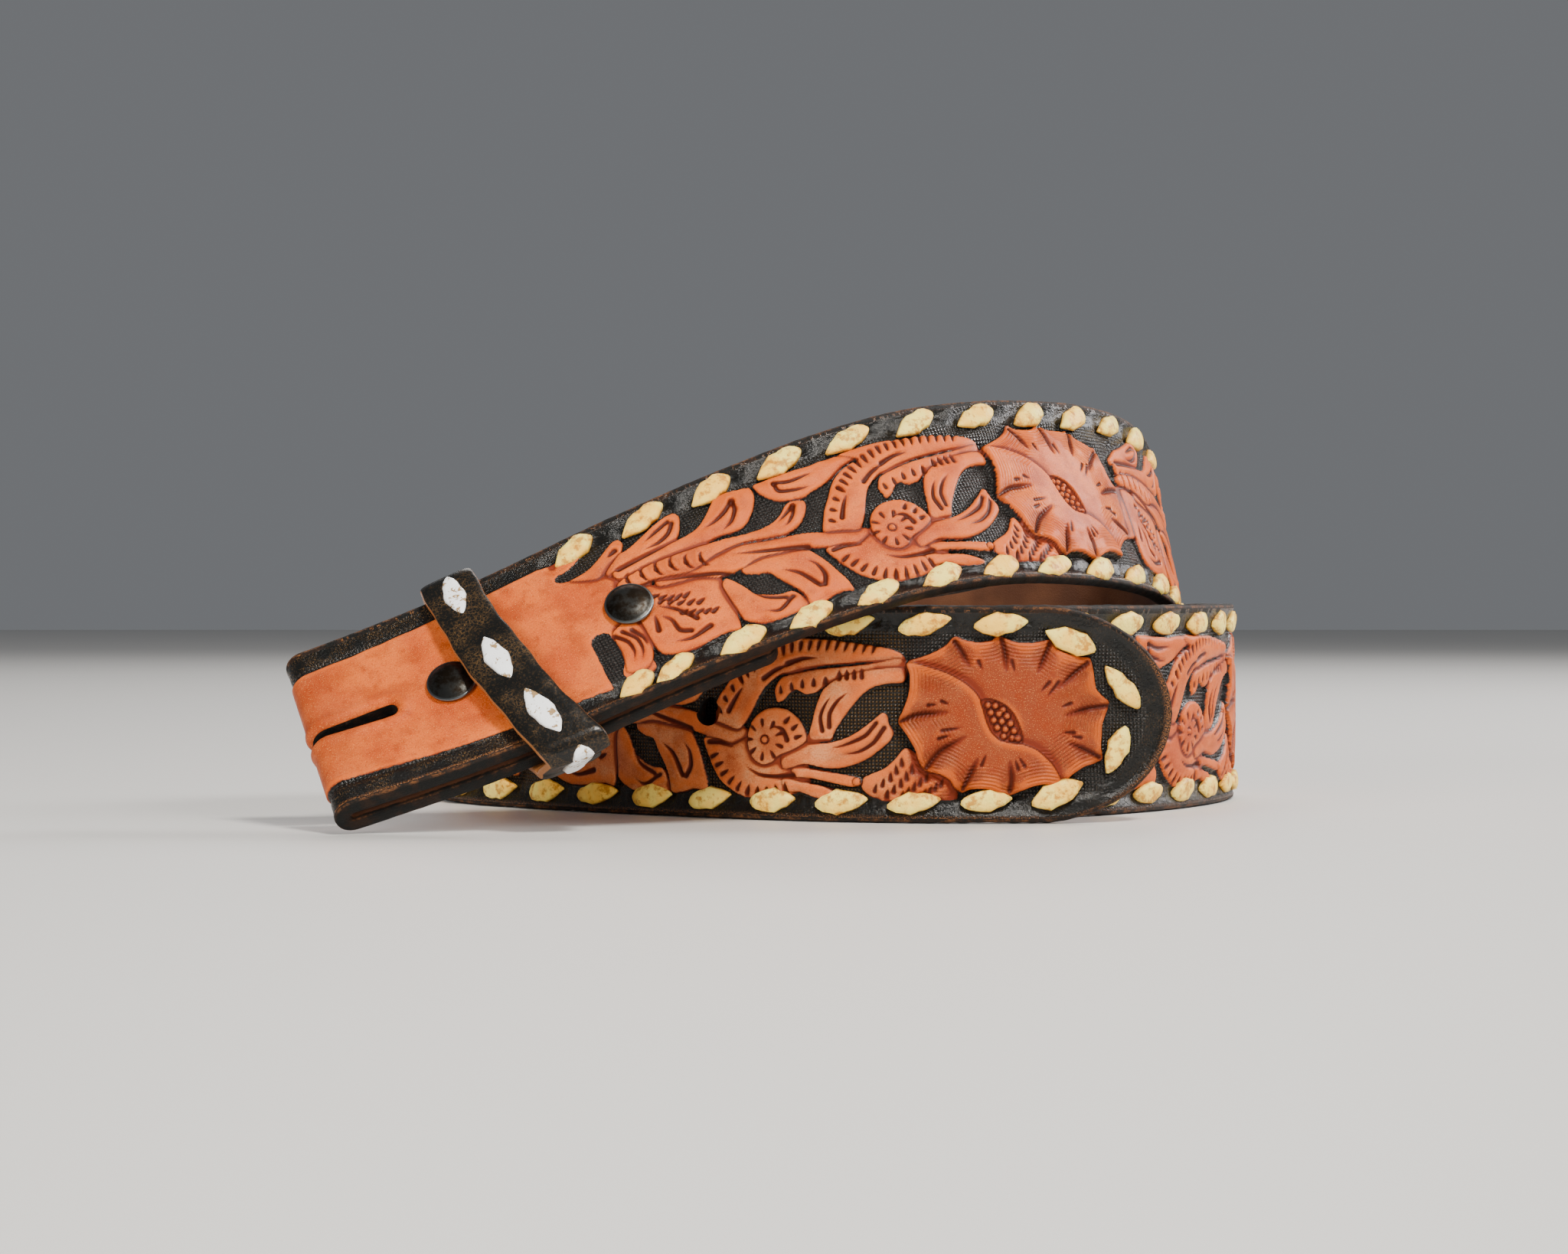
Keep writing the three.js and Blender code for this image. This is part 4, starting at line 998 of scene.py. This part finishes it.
def metal_finish():
    f = Finish("snap_metal")
    place = f.object_place()
    rim = f.attribute("rim")
    stain = f.span(f.noise(place, 300, 5, 0.65), 0.4, 0.6)
    stain = f.math("MULTIPLY", stain, f.math("SUBTRACT", 1.0, rim))
    colour = f.mix(f.math("MULTIPLY", stain, 0.92), GUNMETAL, TARNISH)
    # Rubbed steel painted round the rim: wear, and a painted highlight.
    colour = f.mix(f.math("MULTIPLY", rim, 0.8), colour, RUBBED_STEEL_AND_HIGHLIGHT)
    roughness = f.math("ADD", f.math("MULTIPLY", stain, 0.12), 0.36)
    return f.finish(colour, roughness, f.bump(f.noise(place, 1600, 3), 0.00004, 0.5), Metallic=1.0)


tooled_leather = tooled_finish()
raw_edge = edge_finish()
flesh_side = flesh_finish()
cream_lace = lace_finish("cream_lace", LACE_CREAM, LACE_PALE, LACE_SOILED, (0.48, 0.63, 0.0, 0.8))
white_lace = lace_finish("white_lace", LACE_WHITE, LACE_WHITE, LACE_CHIPPED, (0.545, 0.585, 0.0, 0.95))
dyed_leather = black_leather_finish()
snap_metal = metal_finish()


def finished(bm, name, materials):
    """Makes the object of a finished bmesh, smooth and at the origin, and lets it ride with the part."""
    mesh = bpy.data.meshes.new(name)
    bm.to_mesh(mesh)
    bm.free()
    for material in materials:
        mesh.materials.append(material)
    mesh.polygons.foreach_set("use_smooth", np.ones(len(mesh.polygons), bool))
    piece = bpy.data.objects.new(name, mesh)
    bpy.context.collection.objects.link(piece)
    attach(piece, "root")
    return piece


EDGE_ROUND = 0.9
EDGE_STEPS = 6
EDGE_UNEVEN = 0.1
RIPPLE_PEAK = 1.15
GRAIN, EDGE, BACK = 0, 1, 2


def section_columns(fine, flesh):
    """The strap's section as columns from the top edge down the grain, and up the flesh side."""
    border = 14.9
    inner = HALF_WIDTH - EDGE_ROUND
    tooled = max(round(2 * border / fine), 1)
    rim = max(round((inner - border) / (1.8 * fine)), 3)
    grain = np.concatenate([
        np.linspace(inner, border, rim, endpoint=False),
        np.linspace(border, -border, tooled, endpoint=False),
        np.linspace(-border, -inner, rim, endpoint=False),
    ])
    turns = np.linspace(0, math.pi, EDGE_STEPS, endpoint=False)
    back = np.linspace(-inner, inner, flesh, endpoint=False)
    zones = np.repeat([GRAIN, EDGE, BACK, EDGE], [len(grain), EDGE_STEPS, flesh, EDGE_STEPS + 1])
    last = np.linspace(math.pi, 0, EDGE_STEPS + 1)
    shares = np.concatenate([grain / inner, -np.ones(EDGE_STEPS), back / inner, np.ones(EDGE_STEPS + 1)])
    angles = np.concatenate([np.zeros(len(grain)), turns, np.full(flesh, math.pi), last])
    return zones, shares, angles


def power(value, exponent):
    return np.sign(value) * np.abs(value) ** exponent


def ripple(length, across):
    """A slow unevenness of hand-cut edges, up to the ripple's peak either way."""
    return (
        0.5 * np.sin(length * 0.31 + 0.8)
        + 0.3 * np.sin(length * 0.83 + across * 0.4)
        + 0.35 * np.sin(length * 2.1 + across * 1.7 + 2)
    )


def snap_lengths():
    first = STRAP_LENGTH - FIRST_SNAP_FROM_FOLD
    return [first, first - SNAP_SPACING]


def half_width(length):
    """Half the strap's width, which narrows round the tip and at the end of the flap."""
    from_tip = np.clip(1 - length / TIP_LENGTH, 0, 1)
    half = HALF_WIDTH * np.sqrt(np.maximum(0, 1 - from_tip**2))
    corner = 3.0
    from_end = np.clip(1 - (WHOLE_LENGTH - length) / corner, 0, 1)
    return half - corner * (1 - np.sqrt(np.maximum(0, 1 - from_end**2)))


def section_across(length, share, angle):
    """Height across the flat strap of a point of its section."""
    half = half_width(length)
    round_off = np.minimum(EDGE_ROUND, half / 2)
    swell = round_off * np.maximum(np.sin(angle), 0) ** 0.75
    uneven = EDGE_UNEVEN * (ripple(length, share * 9) - RIPPLE_PEAK) * np.sin(angle)
    edge = np.abs(share) > 0.999
    return share * (half - round_off) + np.sign(share) * (swell + uneven) * edge


def from_outline(length, across):
    """How far inside the strap's outline a place lies."""
    from_tip = np.clip(1 - length / TIP_LENGTH, 0, 1)
    round_tip = TIP_LENGTH * (1 - np.sqrt(from_tip**2 + (across / HALF_WIDTH) ** 2))
    return np.where(length < TIP_LENGTH, round_tip, HALF_WIDTH - np.abs(across))


def slot_share(length):
    """From 0 at the fold's middle to 1 at the slot's ends."""
    return np.clip(np.abs(length - STRAP_LENGTH - FOLD_ARC / 2) / SLOT_REACH, 0, 1)


def slot_lip(length, across):
    """The slot's lips, swollen by wear and rounded in at the opening."""
    stretch = SLOT_REACH + FOLD_ARC / 2 - SLOT_WIDTH / 2
    middle = STRAP_LENGTH + FOLD_ARC / 2
    nearest = middle + np.clip(length - middle, -stretch, stretch)
    away = np.hypot(length - nearest, across + SLOT_BELOW_CENTRE) - slot_radius(length)
    return 0.4 * np.exp(-(((away - 1.3) / 1.1) ** 2)) - 0.7 * np.exp(-np.maximum(away, 0) / 0.4)


def slot_radius(length):
    """Half the slot's width, which closes up towards the fold."""
    return SLOT_WIDTH / 2 * (0.42 + 0.4 * slot_share(length))


def section_depth(length, across, angle, zone):
    """Depth of a point of the section out of the leather's middle, with the relief of the grain side."""
    from_edge = from_outline(length, across) - EDGE_ROUND
    rim_level = 0.5 * tooling.BORDER
    relief = tooling.sample(tooling.height, length, across) + slot_lip(length, across)
    relief = rim_level + (relief - rim_level) * smoothstep(from_edge, 0, 1.4)
    relief = relief * np.where(zone == GRAIN, 1.0, np.maximum(0, np.cos(angle)) ** 2)
    depth = HALF_LEATHER * power(np.cos(angle), 0.7) + np.where(zone == BACK, 0, relief)
    for snap in snap_lengths():
        for place in (snap, 2 * STRAP_LENGTH + FOLD_ARC - snap):
            away = np.hypot(length - place, across + SNAP_BELOW_CENTRE)
            depth = depth + np.where(zone == BACK, 0.45 * smoothstep(-away, -5.2, -4.1), 0)
    return depth


def hole_outlines():
    """Middle, height, radius and half stretch of each round hole and of the slot, on the flat strap."""
    outlines = [(FIRST_HOLE + k * HOLE_PITCH, 0.0, HOLE_DIAMETER / 2, 0.0) for k in range(HOLE_COUNT)]
    radius = SLOT_WIDTH / 2
    middle = STRAP_LENGTH + FOLD_ARC / 2
    outlines.append((middle, -SLOT_BELOW_CENTRE, radius, SLOT_REACH + FOLD_ARC / 2 - radius))
    return outlines


def grid_places(bm, rows, columns):
    """Row and column of each vertex of a unit grid."""
    raw = np.array([vert.co[:2] for vert in bm.verts])
    row = np.rint((raw[:, 0] + 1) / 2 * rows).astype(int)
    column = np.rint((raw[:, 1] + 1) / 2 * columns).astype(int)
    return row, column


def open_edges_near(bm, index_of, chosen):
    return [
        edge for edge in bm.edges
        if edge.is_boundary and all(chosen[vert[index_of]] for vert in edge.verts)
    ]


def strap_piece(name, start, end, step, fine, flesh):
    """One stretch of the strap as a closed body, from one length past the tip to another."""
    zones, shares, angles = section_columns(fine, flesh)
    rows = max(round((end - start) / step), 2)
    columns = len(zones) - 1
    bm = bmesh.new()
    bmesh.ops.create_grid(bm, x_segments=rows, y_segments=columns, size=1.0)
    row, column = grid_places(bm, rows, columns)
    length = start + (end - start) * row / rows
    across = section_across(length, shares[column], angles[column])
    holed = np.full(len(row), -1)
    for k, (middle, height, radius, stretch) in enumerate(hole_outlines()):
        nearest = middle + np.clip(length - middle, -stretch, stretch)
        away = np.hypot(length - nearest, across - height)
        if stretch > 0:
            radius = slot_radius(length)
        inside = (away < radius) & (zones[column] != EDGE)
        holed[inside] = k
        push = radius / np.maximum(away, 0.05)
        length = np.where(inside, nearest + (length - nearest) * push, length)
        across = np.where(inside, height + (across - height) * push, across)
    bm.verts.index_update()
    doomed = [face for face in bm.faces if all(holed[vert.index] >= 0 for vert in face.verts)]
    depth = section_depth(length, across, angles[column], zones[column])
    places = strap.place(length, across, depth) * MM
    cell = bm.verts.layers.int.new("cell")
    for vert, place in zip(bm.verts, places.tolist()):
        vert[cell] = vert.index
        vert.co = place
    if doomed:
        bmesh.ops.delete(bm, geom=doomed, context="FACES")
    seam = [
        vert for vert in bm.verts
        if column[vert[cell]] in (0, columns) or (start == 0 and row[vert[cell]] == 0)
    ]
    bmesh.ops.remove_doubles(bm, verts=seam, dist=1e-7)
    for k in sorted(set(holed[holed >= 0].tolist())):
        rim = open_edges_near(bm, cell, holed == k)
        bmesh.ops.bridge_loops(bm, edges=rim)
    loose_ends = [edge for edge in bm.edges if edge.is_boundary]
    bmesh.ops.holes_fill(bm, edges=loose_ends, sides=0)
    bmesh.ops.recalc_face_normals(bm, faces=bm.faces)
    piece = finished(bm, name, [tooled_leather, raw_edge, flesh_side])
    ends = np.isin(row, (0, rows)) & (length > 1)
    seam_normals = np.zeros((len(row), 3))
    seam_normals[ends] = outward(length[ends], column[ends], zones, shares, angles)
    smooth_seams(piece.data, seam_normals)
    paint_strap(piece.data, length, across, column, zones, angles)
    return piece


def outward(length, column, zones, shares, angles):
    """The strap's own outward direction at its section's points, for pieces that meet there."""
    reach = 0.12

    def surface(at, ahead):
        ring = np.mod(column + at, len(zones) - 1)
        across = section_across(length + ahead, shares[ring], angles[ring])
        depth = section_depth(length + ahead, across, angles[ring], zones[ring])
        return strap.place(length + ahead, across, depth)

    onward = surface(0, reach) - surface(0, -reach)
    round_it = surface(1, 0) - surface(-1, 0)
    return unit(np.cross(onward, round_it))


def smooth_seams(mesh, directions):
    """Sets the directions at a piece's two ends, so that no line shows where the next one meets it."""
    cell = np.zeros(len(mesh.vertices), int)
    mesh.attributes["cell"].data.foreach_get("value", cell)
    mesh.normals_split_custom_set_from_vertices(directions[cell].tolist())


def paint_strap(mesh, length, across, column, zones, angles):
    """Gives the strap its flat map, the values its finishes read, and a material for each side."""
    cell = np.zeros(len(mesh.vertices), int)
    mesh.attributes["cell"].data.foreach_get("value", cell)
    mesh.attributes.remove(mesh.attributes["cell"])
    length, across, column = length[cell], across[cell], column[cell]
    values = {
        "outside_tan": tooling.sample(tooling.outside, length, across),
        "cut": tooling.sample(tooling.cut, length, across),
        "hollow_shade_and_stain": tooling.sample(tooling.hollow_shade_and_stain, length, across),
        "aged": (
            0.12 + 0.78 * smoothstep(-length, -60, -44) - 0.12 * smoothstep(length, 690, 780)
            + 0.35 * smoothstep(length, STRAP_LENGTH - 10, STRAP_LENGTH + 2)
        ),
        "scuffed": 0.12 + 0.83 * smoothstep(length, 42, 56) - 0.75 * smoothstep(length, 130, 190),
        "edge_turn": np.where(zones[column] == EDGE, angles[column] / math.pi, 0),
        "edge_away": from_outline(length, across),
    }
    for key, value in values.items():
        attribute = mesh.attributes.new(key, "FLOAT", "POINT")
        attribute.data.foreach_set("value", value.astype(np.float32))
    corner = np.zeros(len(mesh.loops), int)
    mesh.loops.foreach_get("vertex_index", corner)
    flat = mesh.uv_layers.new(name="flat")
    flat.uv.foreach_set("vector", (np.stack([length, across], -1)[corner] / FLAT_UNIT).ravel())
    starts = np.zeros(len(mesh.polygons), int)
    mesh.polygons.foreach_get("loop_start", starts)
    lowest = np.minimum.reduceat(column[corner], starts)
    highest = np.maximum.reduceat(column[corner], starts)
    sides = np.where(highest - lowest > 1, EDGE, zones[lowest])
    mesh.polygons.foreach_set("material_index", sides)


FINE = 0.26
STRETCHES = [
    ("strap_tip", 0.0, 138.0, FINE, FINE, 34),
    ("strap_outer_left", 138.0, 340.0, 0.5, 0.42, 22),
    ("strap_outer_right", 340.0, 540.0, 0.5, 0.42, 22),
    ("strap_inner", 540.0, 740.0, 0.6, 0.5, 22),
    ("strap_front_right", 740.0, 835.0, FINE, FINE, 26),
    ("strap_front_left", 835.0, STRAP_LENGTH - 30.0, FINE, FINE, 26),
    ("strap_fold", STRAP_LENGTH - 30.0, STRAP_LENGTH + 20.0, 0.36, 0.36, 60),
    ("strap_flap", STRAP_LENGTH + 20.0, WHOLE_LENGTH, 0.6, 0.6, 30),
]
for stretch in STRETCHES:
    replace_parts(strap_piece(*stretch), "strap")


def lace_body(bm, rings, sides, shape, rim):
    """A closed lens from a sphere: shape gives each place from its share along, across and out."""
    made = bmesh.ops.create_uvsphere(bm, u_segments=sides, v_segments=rings, radius=1.0)
    for vert in made["verts"]:
        along = vert.co.z
        turn = math.atan2(vert.co.y, vert.co.x)
        vert[rim] = abs(math.cos(turn)) if abs(along) < 0.98 else 1.0
        vert.co = shape(along, math.cos(turn), math.sin(turn))
    return made["verts"]


# One lace from its sharp end to its blunt end: share of its half length, lower and upper edge
LACE_OUTLINE = np.array([
    (-1.0, -0.5, -0.25), (-0.85, -1.0, 0.3), (-0.6, -1.6, 1.15), (-0.3, -2.0, 1.8), (0.0, -2.1, 2.1),
    (0.3, -1.95, 2.15), (0.55, -1.5, 1.95), (0.75, -0.95, 1.55), (0.88, -0.45, 1.1), (1.0, 0.1, 0.6),
])


def lace_section(along):
    """Middle height and half width of a lace, at a share of its half length."""
    low, high = (np.interp(along, LACE_OUTLINE[:, 0], LACE_OUTLINE[:, k]) for k in (1, 2))
    return (low + high) / 2, (high - low) / 2


def strap_laces(name, places, rise):
    bm = bmesh.new()
    rim = bm.verts.layers.float.new("rim")
    chance = np.random.default_rng(7)
    for length, across, slant, long, turned in places:
        half_long = long / 2 * (1 + 0.07 * chance.uniform(-1, 1))
        broad = 1 + 0.1 * chance.uniform(-1, 1)
        heading = math.radians(slant + 4 * chance.uniform(-1, 1))
        hump = rise * (1 + 0.15 * chance.uniform(-1, 1))
        kink = chance.uniform(-1, 1)

        def shape(along, wide, out):
            middle, half_wide = lace_section(along)
            a = turned * along * half_long
            uneven = 1 + 0.07 * math.sin(7 * along + 5 * kink) + 0.05 * math.sin(13 * along - 4 * kink)
            b = -turned * broad * (middle + half_wide * wide * uneven)
            flat_top = power(out, 0.4) if out > 0 else 0.5 * out
            lump = 1 + 0.14 * math.sin(3.1 * along + 2 * kink) + 0.12 * wide * kink
            high = hump * lump * (0.35 + 0.65 * min(1, half_wide / 1.6)) * flat_top
            base = HALF_LEATHER - 0.62 - 0.35 * abs(along) ** 4
            s = length + a * math.cos(heading) - b * math.sin(heading)
            v = across + a * math.sin(heading) + b * math.cos(heading)
            return Vector(strap.place(s, v, base + high) * MM)

        lace_body(bm, 11, 12, shape, rim)
    bmesh.ops.recalc_face_normals(bm, faces=bm.faces)
    return finished(bm, name, [cream_lace])


grain_places = lace_places()
LACE_RISE, PRESSED_LACE_RISE = 1.15, 0.75
strap_laces("lace_grain_tip", [p for p in grain_places if p[0] < INNER_STRAND], LACE_RISE)
middle_places = [p for p in grain_places if INNER_STRAND <= p[0] < FRONT_STRAND]
strap_laces("lace_grain_middle", middle_places, PRESSED_LACE_RISE)
strap_laces("lace_grain_front", [p for p in grain_places if p[0] >= FRONT_STRAND], LACE_RISE)


def keeper_loop(outwards):
    """The keeper's loop seen along the strap, as its own solid has it, with finer steps."""
    top = HALF_WIDTH + KEEPER_SLACK_ABOVE
    front_bottom = -HALF_WIDTH - KEEPER_SLACK_FRONT
    back_bottom = -HALF_WIDTH - KEEPER_SLACK_BACK
    front = HALF_LEATHER + CLEARANCE
    back = -HALF_LEATHER - FLAP_OFFSET - CLEARANCE
    corner, loop = KEEPER_CORNER, []

    def add_run(start, end, level, side, steps=60):
        for k in range(1, steps):
            share = k / steps
            lift = KEEPER_BULGE * math.sin(math.pi * share) + outwards
            loop.append((start + (end - start) * share, level + side * lift))

    def add_corner(across, depth, start, steps=8):
        for k in range(steps + 1):
            turn = start + math.pi / 2 * k / steps
            radius = corner + outwards
            loop.append((across + radius * math.cos(turn), depth + radius * math.sin(turn)))

    add_corner(top - corner, front - corner, 0)
    add_run(top - corner, front_bottom + corner, front, 1)
    add_corner(front_bottom + corner, front - corner, math.pi / 2)
    add_corner(back_bottom + corner, back + corner, math.pi)
    add_run(back_bottom + corner, top - corner, back, -1)
    add_corner(top - corner, back + corner, 3 * math.pi / 2)
    return np.array(loop)


KEEPER_INNER = keeper_loop(0.0)
KEEPER_OUTER = keeper_loop(KEEPER_THICKNESS)


def keeper_place(row, side, out):
    """From a row round the loop, a share of the half width, and a share through the leather."""
    inner = np.stack([np.interp(row, np.arange(len(KEEPER_INNER)), KEEPER_INNER[:, k]) for k in (0, 1)], -1)
    outer = np.stack([np.interp(row, np.arange(len(KEEPER_OUTER)), KEEPER_OUTER[:, k]) for k in (0, 1)], -1)
    point = inner + (outer - inner) * np.asarray(out)[..., None]
    fall = np.maximum(0, (HALF_WIDTH - point[..., 0]) / STRAP_WIDTH)
    from_fold = KEEPER_FROM_FOLD + KEEPER_SWEEP * fall**2 - np.asarray(side) * KEEPER_WIDTH / 2
    return strap.place(STRAP_LENGTH - from_fold, point[..., 0], point[..., 1])


def keeper_piece():
    around, section = 4 * len(KEEPER_INNER), 44
    bm = bmesh.new()
    bmesh.ops.create_grid(bm, x_segments=around, y_segments=section, size=1.0)
    row, column = grid_places(bm, around, section)
    turn = 2 * math.pi * column / section
    side = power(np.cos(turn), 0.3)
    through = power(np.sin(turn), 0.55)
    place_round = row / around * len(KEEPER_INNER)
    wobble = 0.03 * np.sin(place_round * 0.21) + 0.015 * np.sin(place_round * 0.63 + 1)
    dome = 0.06 * (1 - side**2) * (through > 0)
    looped = np.mod(place_round, len(KEEPER_INNER))
    last = len(KEEPER_INNER) - 1
    closing = np.clip(looped - last, 0, 1)
    out = 0.5 + 0.5 * through + dome
    places = keeper_place(np.minimum(looped, last), side * (1 + wobble), out)
    first = keeper_place(np.zeros_like(looped), side * (1 + wobble), out)
    places = places + (first - places) * closing[:, None]
    rim = bm.verts.layers.float.new("rim")
    for vert, place, s, t in zip(bm.verts, (places * MM).tolist(), side.tolist(), through.tolist()):
        vert.co = place
        vert[rim] = 1.0 - smoothstep(t, 0.2, 0.85)
    bmesh.ops.remove_doubles(bm, verts=bm.verts, dist=1e-6)
    bmesh.ops.recalc_face_normals(bm, faces=bm.faces)
    piece = finished(bm, "keeper_loop", [dyed_leather])
    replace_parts(piece, "keeper")
    return piece


def keeper_laces():
    """White laces down the middle of the keeper, on its front, its back and its lower side."""
    bm = bmesh.new()
    rim = bm.verts.layers.float.new("rim")
    heights = KEEPER_OUTER[:, 0]

    def rows_at(first, last, wanted):
        return [first + int(np.argmin(np.abs(heights[first:last] - v))) for v in wanted]

    faces = rows_at(9, 68, (15.2, -2.2, -16.4)) + rows_at(86, 145, (-13, 1, 15))
    lower_side = (76.5, 5.0)
    for middle, half_rows in [(row, 8.2) for row in faces] + [lower_side]:

        def shape(along, wide, out):
            centre, half_wide = lace_section(along)
            half_wide *= (1 - 0.5 * abs(along) ** 3) * (1 + 0.08 * math.sin(9 * along + middle))
            row = middle + along * half_rows
            side = (centre + half_wide * wide) / (KEEPER_WIDTH / 2)
            flat_top = power(out, 0.45) if out > 0 else 0.5 * out
            high = 1.0 + 0.36 * (0.4 + 0.6 * min(1, half_wide / 1.6)) * flat_top - 0.16 * abs(along) ** 4
            return Vector(keeper_place(np.array(row), side, high) * MM)

        lace_body(bm, 14, 12, shape, rim)
    bmesh.ops.recalc_face_normals(bm, faces=bm.faces)
    return finished(bm, "lace_keeper", [white_lace])


keeper_piece()
keeper_laces()


def snap_cap(name, node, length):
    """A snap's cap with its rolled rim, its shank and the socket between the layers."""
    radius, rise, rim = 4.3, 1.4, 0.5
    shank, socket, cavity = 2.0, 3.75, 1.3
    base = HALF_LEATHER + CLEARANCE
    middle = HALF_LEATHER - LEATHER - FOLD_GAP / 2
    socket_top = middle + SNAP_SPACE / 2 - CLEARANCE
    socket_bottom = socket_top - 0.6
    profile = [(0.0, base + rise)]
    for k in range(1, 15):
        share = k / 14
        profile.append(((radius - 0.45) * share, base + 0.62 + (rise - 0.62) * (1 - share**3.4)))
    for k in range(0, 7):
        turn = math.pi / 2 - math.pi * k / 6
        profile.append((radius - 0.3 + 0.3 * math.cos(turn), base + 0.32 + 0.3 * math.sin(turn)))
    profile += [
        (shank, base), (shank, socket_top), (socket, socket_top), (socket, socket_bottom),
        (cavity, socket_bottom), (cavity, socket_bottom + 2.0), (0.0, socket_bottom + 2.0),
    ]
    bm = bmesh.new()
    line = [bm.verts.new((x, 0, z)) for x, z in profile]
    edges = [bm.edges.new(pair) for pair in zip(line, line[1:])]
    bmesh.ops.spin(
        bm, geom=line + edges, cent=(0, 0, 0), axis=(0, 0, 1), dvec=(0, 0, 0), angle=2 * math.pi, steps=72,
        use_merge=True, use_duplicate=False,
    )
    bmesh.ops.remove_doubles(bm, verts=bm.verts, dist=1e-4)
    bmesh.ops.recalc_face_normals(bm, faces=bm.faces)
    rubbed = bm.verts.layers.float.new("rim")
    # The outer rim is marked for rubbed steel, which also stands as a painted highlight.
    for vert in bm.verts:
        vert[rubbed] = smoothstep(math.hypot(vert.co.x, vert.co.y), 3.85, 4.1)
        vert.co = strap_seat(length, vert.co.x, vert.co.y, vert.co.z)
    piece = finished(bm, name, [snap_metal])
    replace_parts(piece, node)
    return piece


def strap_seat(length, ahead, across, out):
    """A rigid piece's place on the strap, from its own axes at one length."""
    centre, along, up, facing = strap.axes(np.array(length))
    place = centre + ahead * along + (across - SNAP_BELOW_CENTRE) * up + out * facing
    return Vector(place * MM)


for number, length in enumerate(snap_lengths(), 1):
    snap_cap(f"snap_cap_{number}_worn", f"snap_cap_{number}", length)
    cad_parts[f"snap_stud_{number}"].data.materials.clear()
    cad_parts[f"snap_stud_{number}"].data.materials.append(snap_metal)


def studio():
    """Pale floor and soft lights."""
    bm = bmesh.new()
    bmesh.ops.create_grid(bm, x_segments=1, y_segments=1, size=3.0)
    mesh = bpy.data.meshes.new("floor")
    bm.to_mesh(mesh)
    bm.free()
    floor = bpy.data.objects.new("floor", mesh)
    bpy.context.collection.objects.link(floor)
    pale = bpy.data.materials.new("pale_floor")
    pale.use_nodes = True
    pale.node_tree.nodes["Principled BSDF"].inputs["Base Color"].default_value = (0.62, 0.61, 0.59, 1)
    pale.node_tree.nodes["Principled BSDF"].inputs["Roughness"].default_value = 0.5
    mesh.materials.append(pale)
    world = bpy.data.worlds.new("studio")
    world.use_nodes = True
    world.node_tree.nodes["Background"].inputs["Color"].default_value = (0.80, 0.83, 0.88, 1)
    world.node_tree.nodes["Background"].inputs["Strength"].default_value = 0.2
    bpy.context.scene.world = world
    area_light("key", (0.4, -0.7, 1.05), 0.25, 21, (1.0, 0.95, 0.88))
    area_light("sheen", (1.0, 0.45, 0.62), 0.4, 18, (1.0, 0.97, 0.97))
    area_light("front", (0.55, -1.2, 0.25), 0.35, 5, (1.0, 0.97, 0.92), glossy=False)
    area_light("fill", (-0.7, -1.05, 0.28), 0.5, 13, (1.0, 0.98, 0.95), glossy=False)
    area_light("back", (0.0, 1.0, 0.9), 0.8, 7, (1.0, 0.98, 0.95))


def area_light(name, place, size, power_watts, colour, glossy=True):
    light = bpy.data.lights.new(name, "AREA")
    light.size = size
    light.energy = power_watts
    light.color = colour
    lamp = bpy.data.objects.new(name, light)
    lamp.location = place
    aim = Vector((0, 0, 0.03)) - Vector(place)
    lamp.rotation_euler = aim.to_track_quat("-Z", "Y").to_euler()
    lamp.visible_glossy = glossy
    bpy.context.collection.objects.link(lamp)


def camera():
    lens = bpy.data.cameras.new("camera")
    lens.lens = CAMERA_LENS
    lens.sensor_width = CAMERA_SENSOR
    lens.sensor_fit = "HORIZONTAL"
    lens.clip_start = 0.01
    eye = bpy.data.objects.new("camera", lens)
    eye.location = Vector(CAMERA_PLACE) * MM
    eye.rotation_euler = (math.radians(90 - CAMERA_DIP), 0, 0)
    bpy.context.collection.objects.link(eye)
    bpy.context.scene.camera = eye


studio()
camera()

bpy.context.view_layer.update()
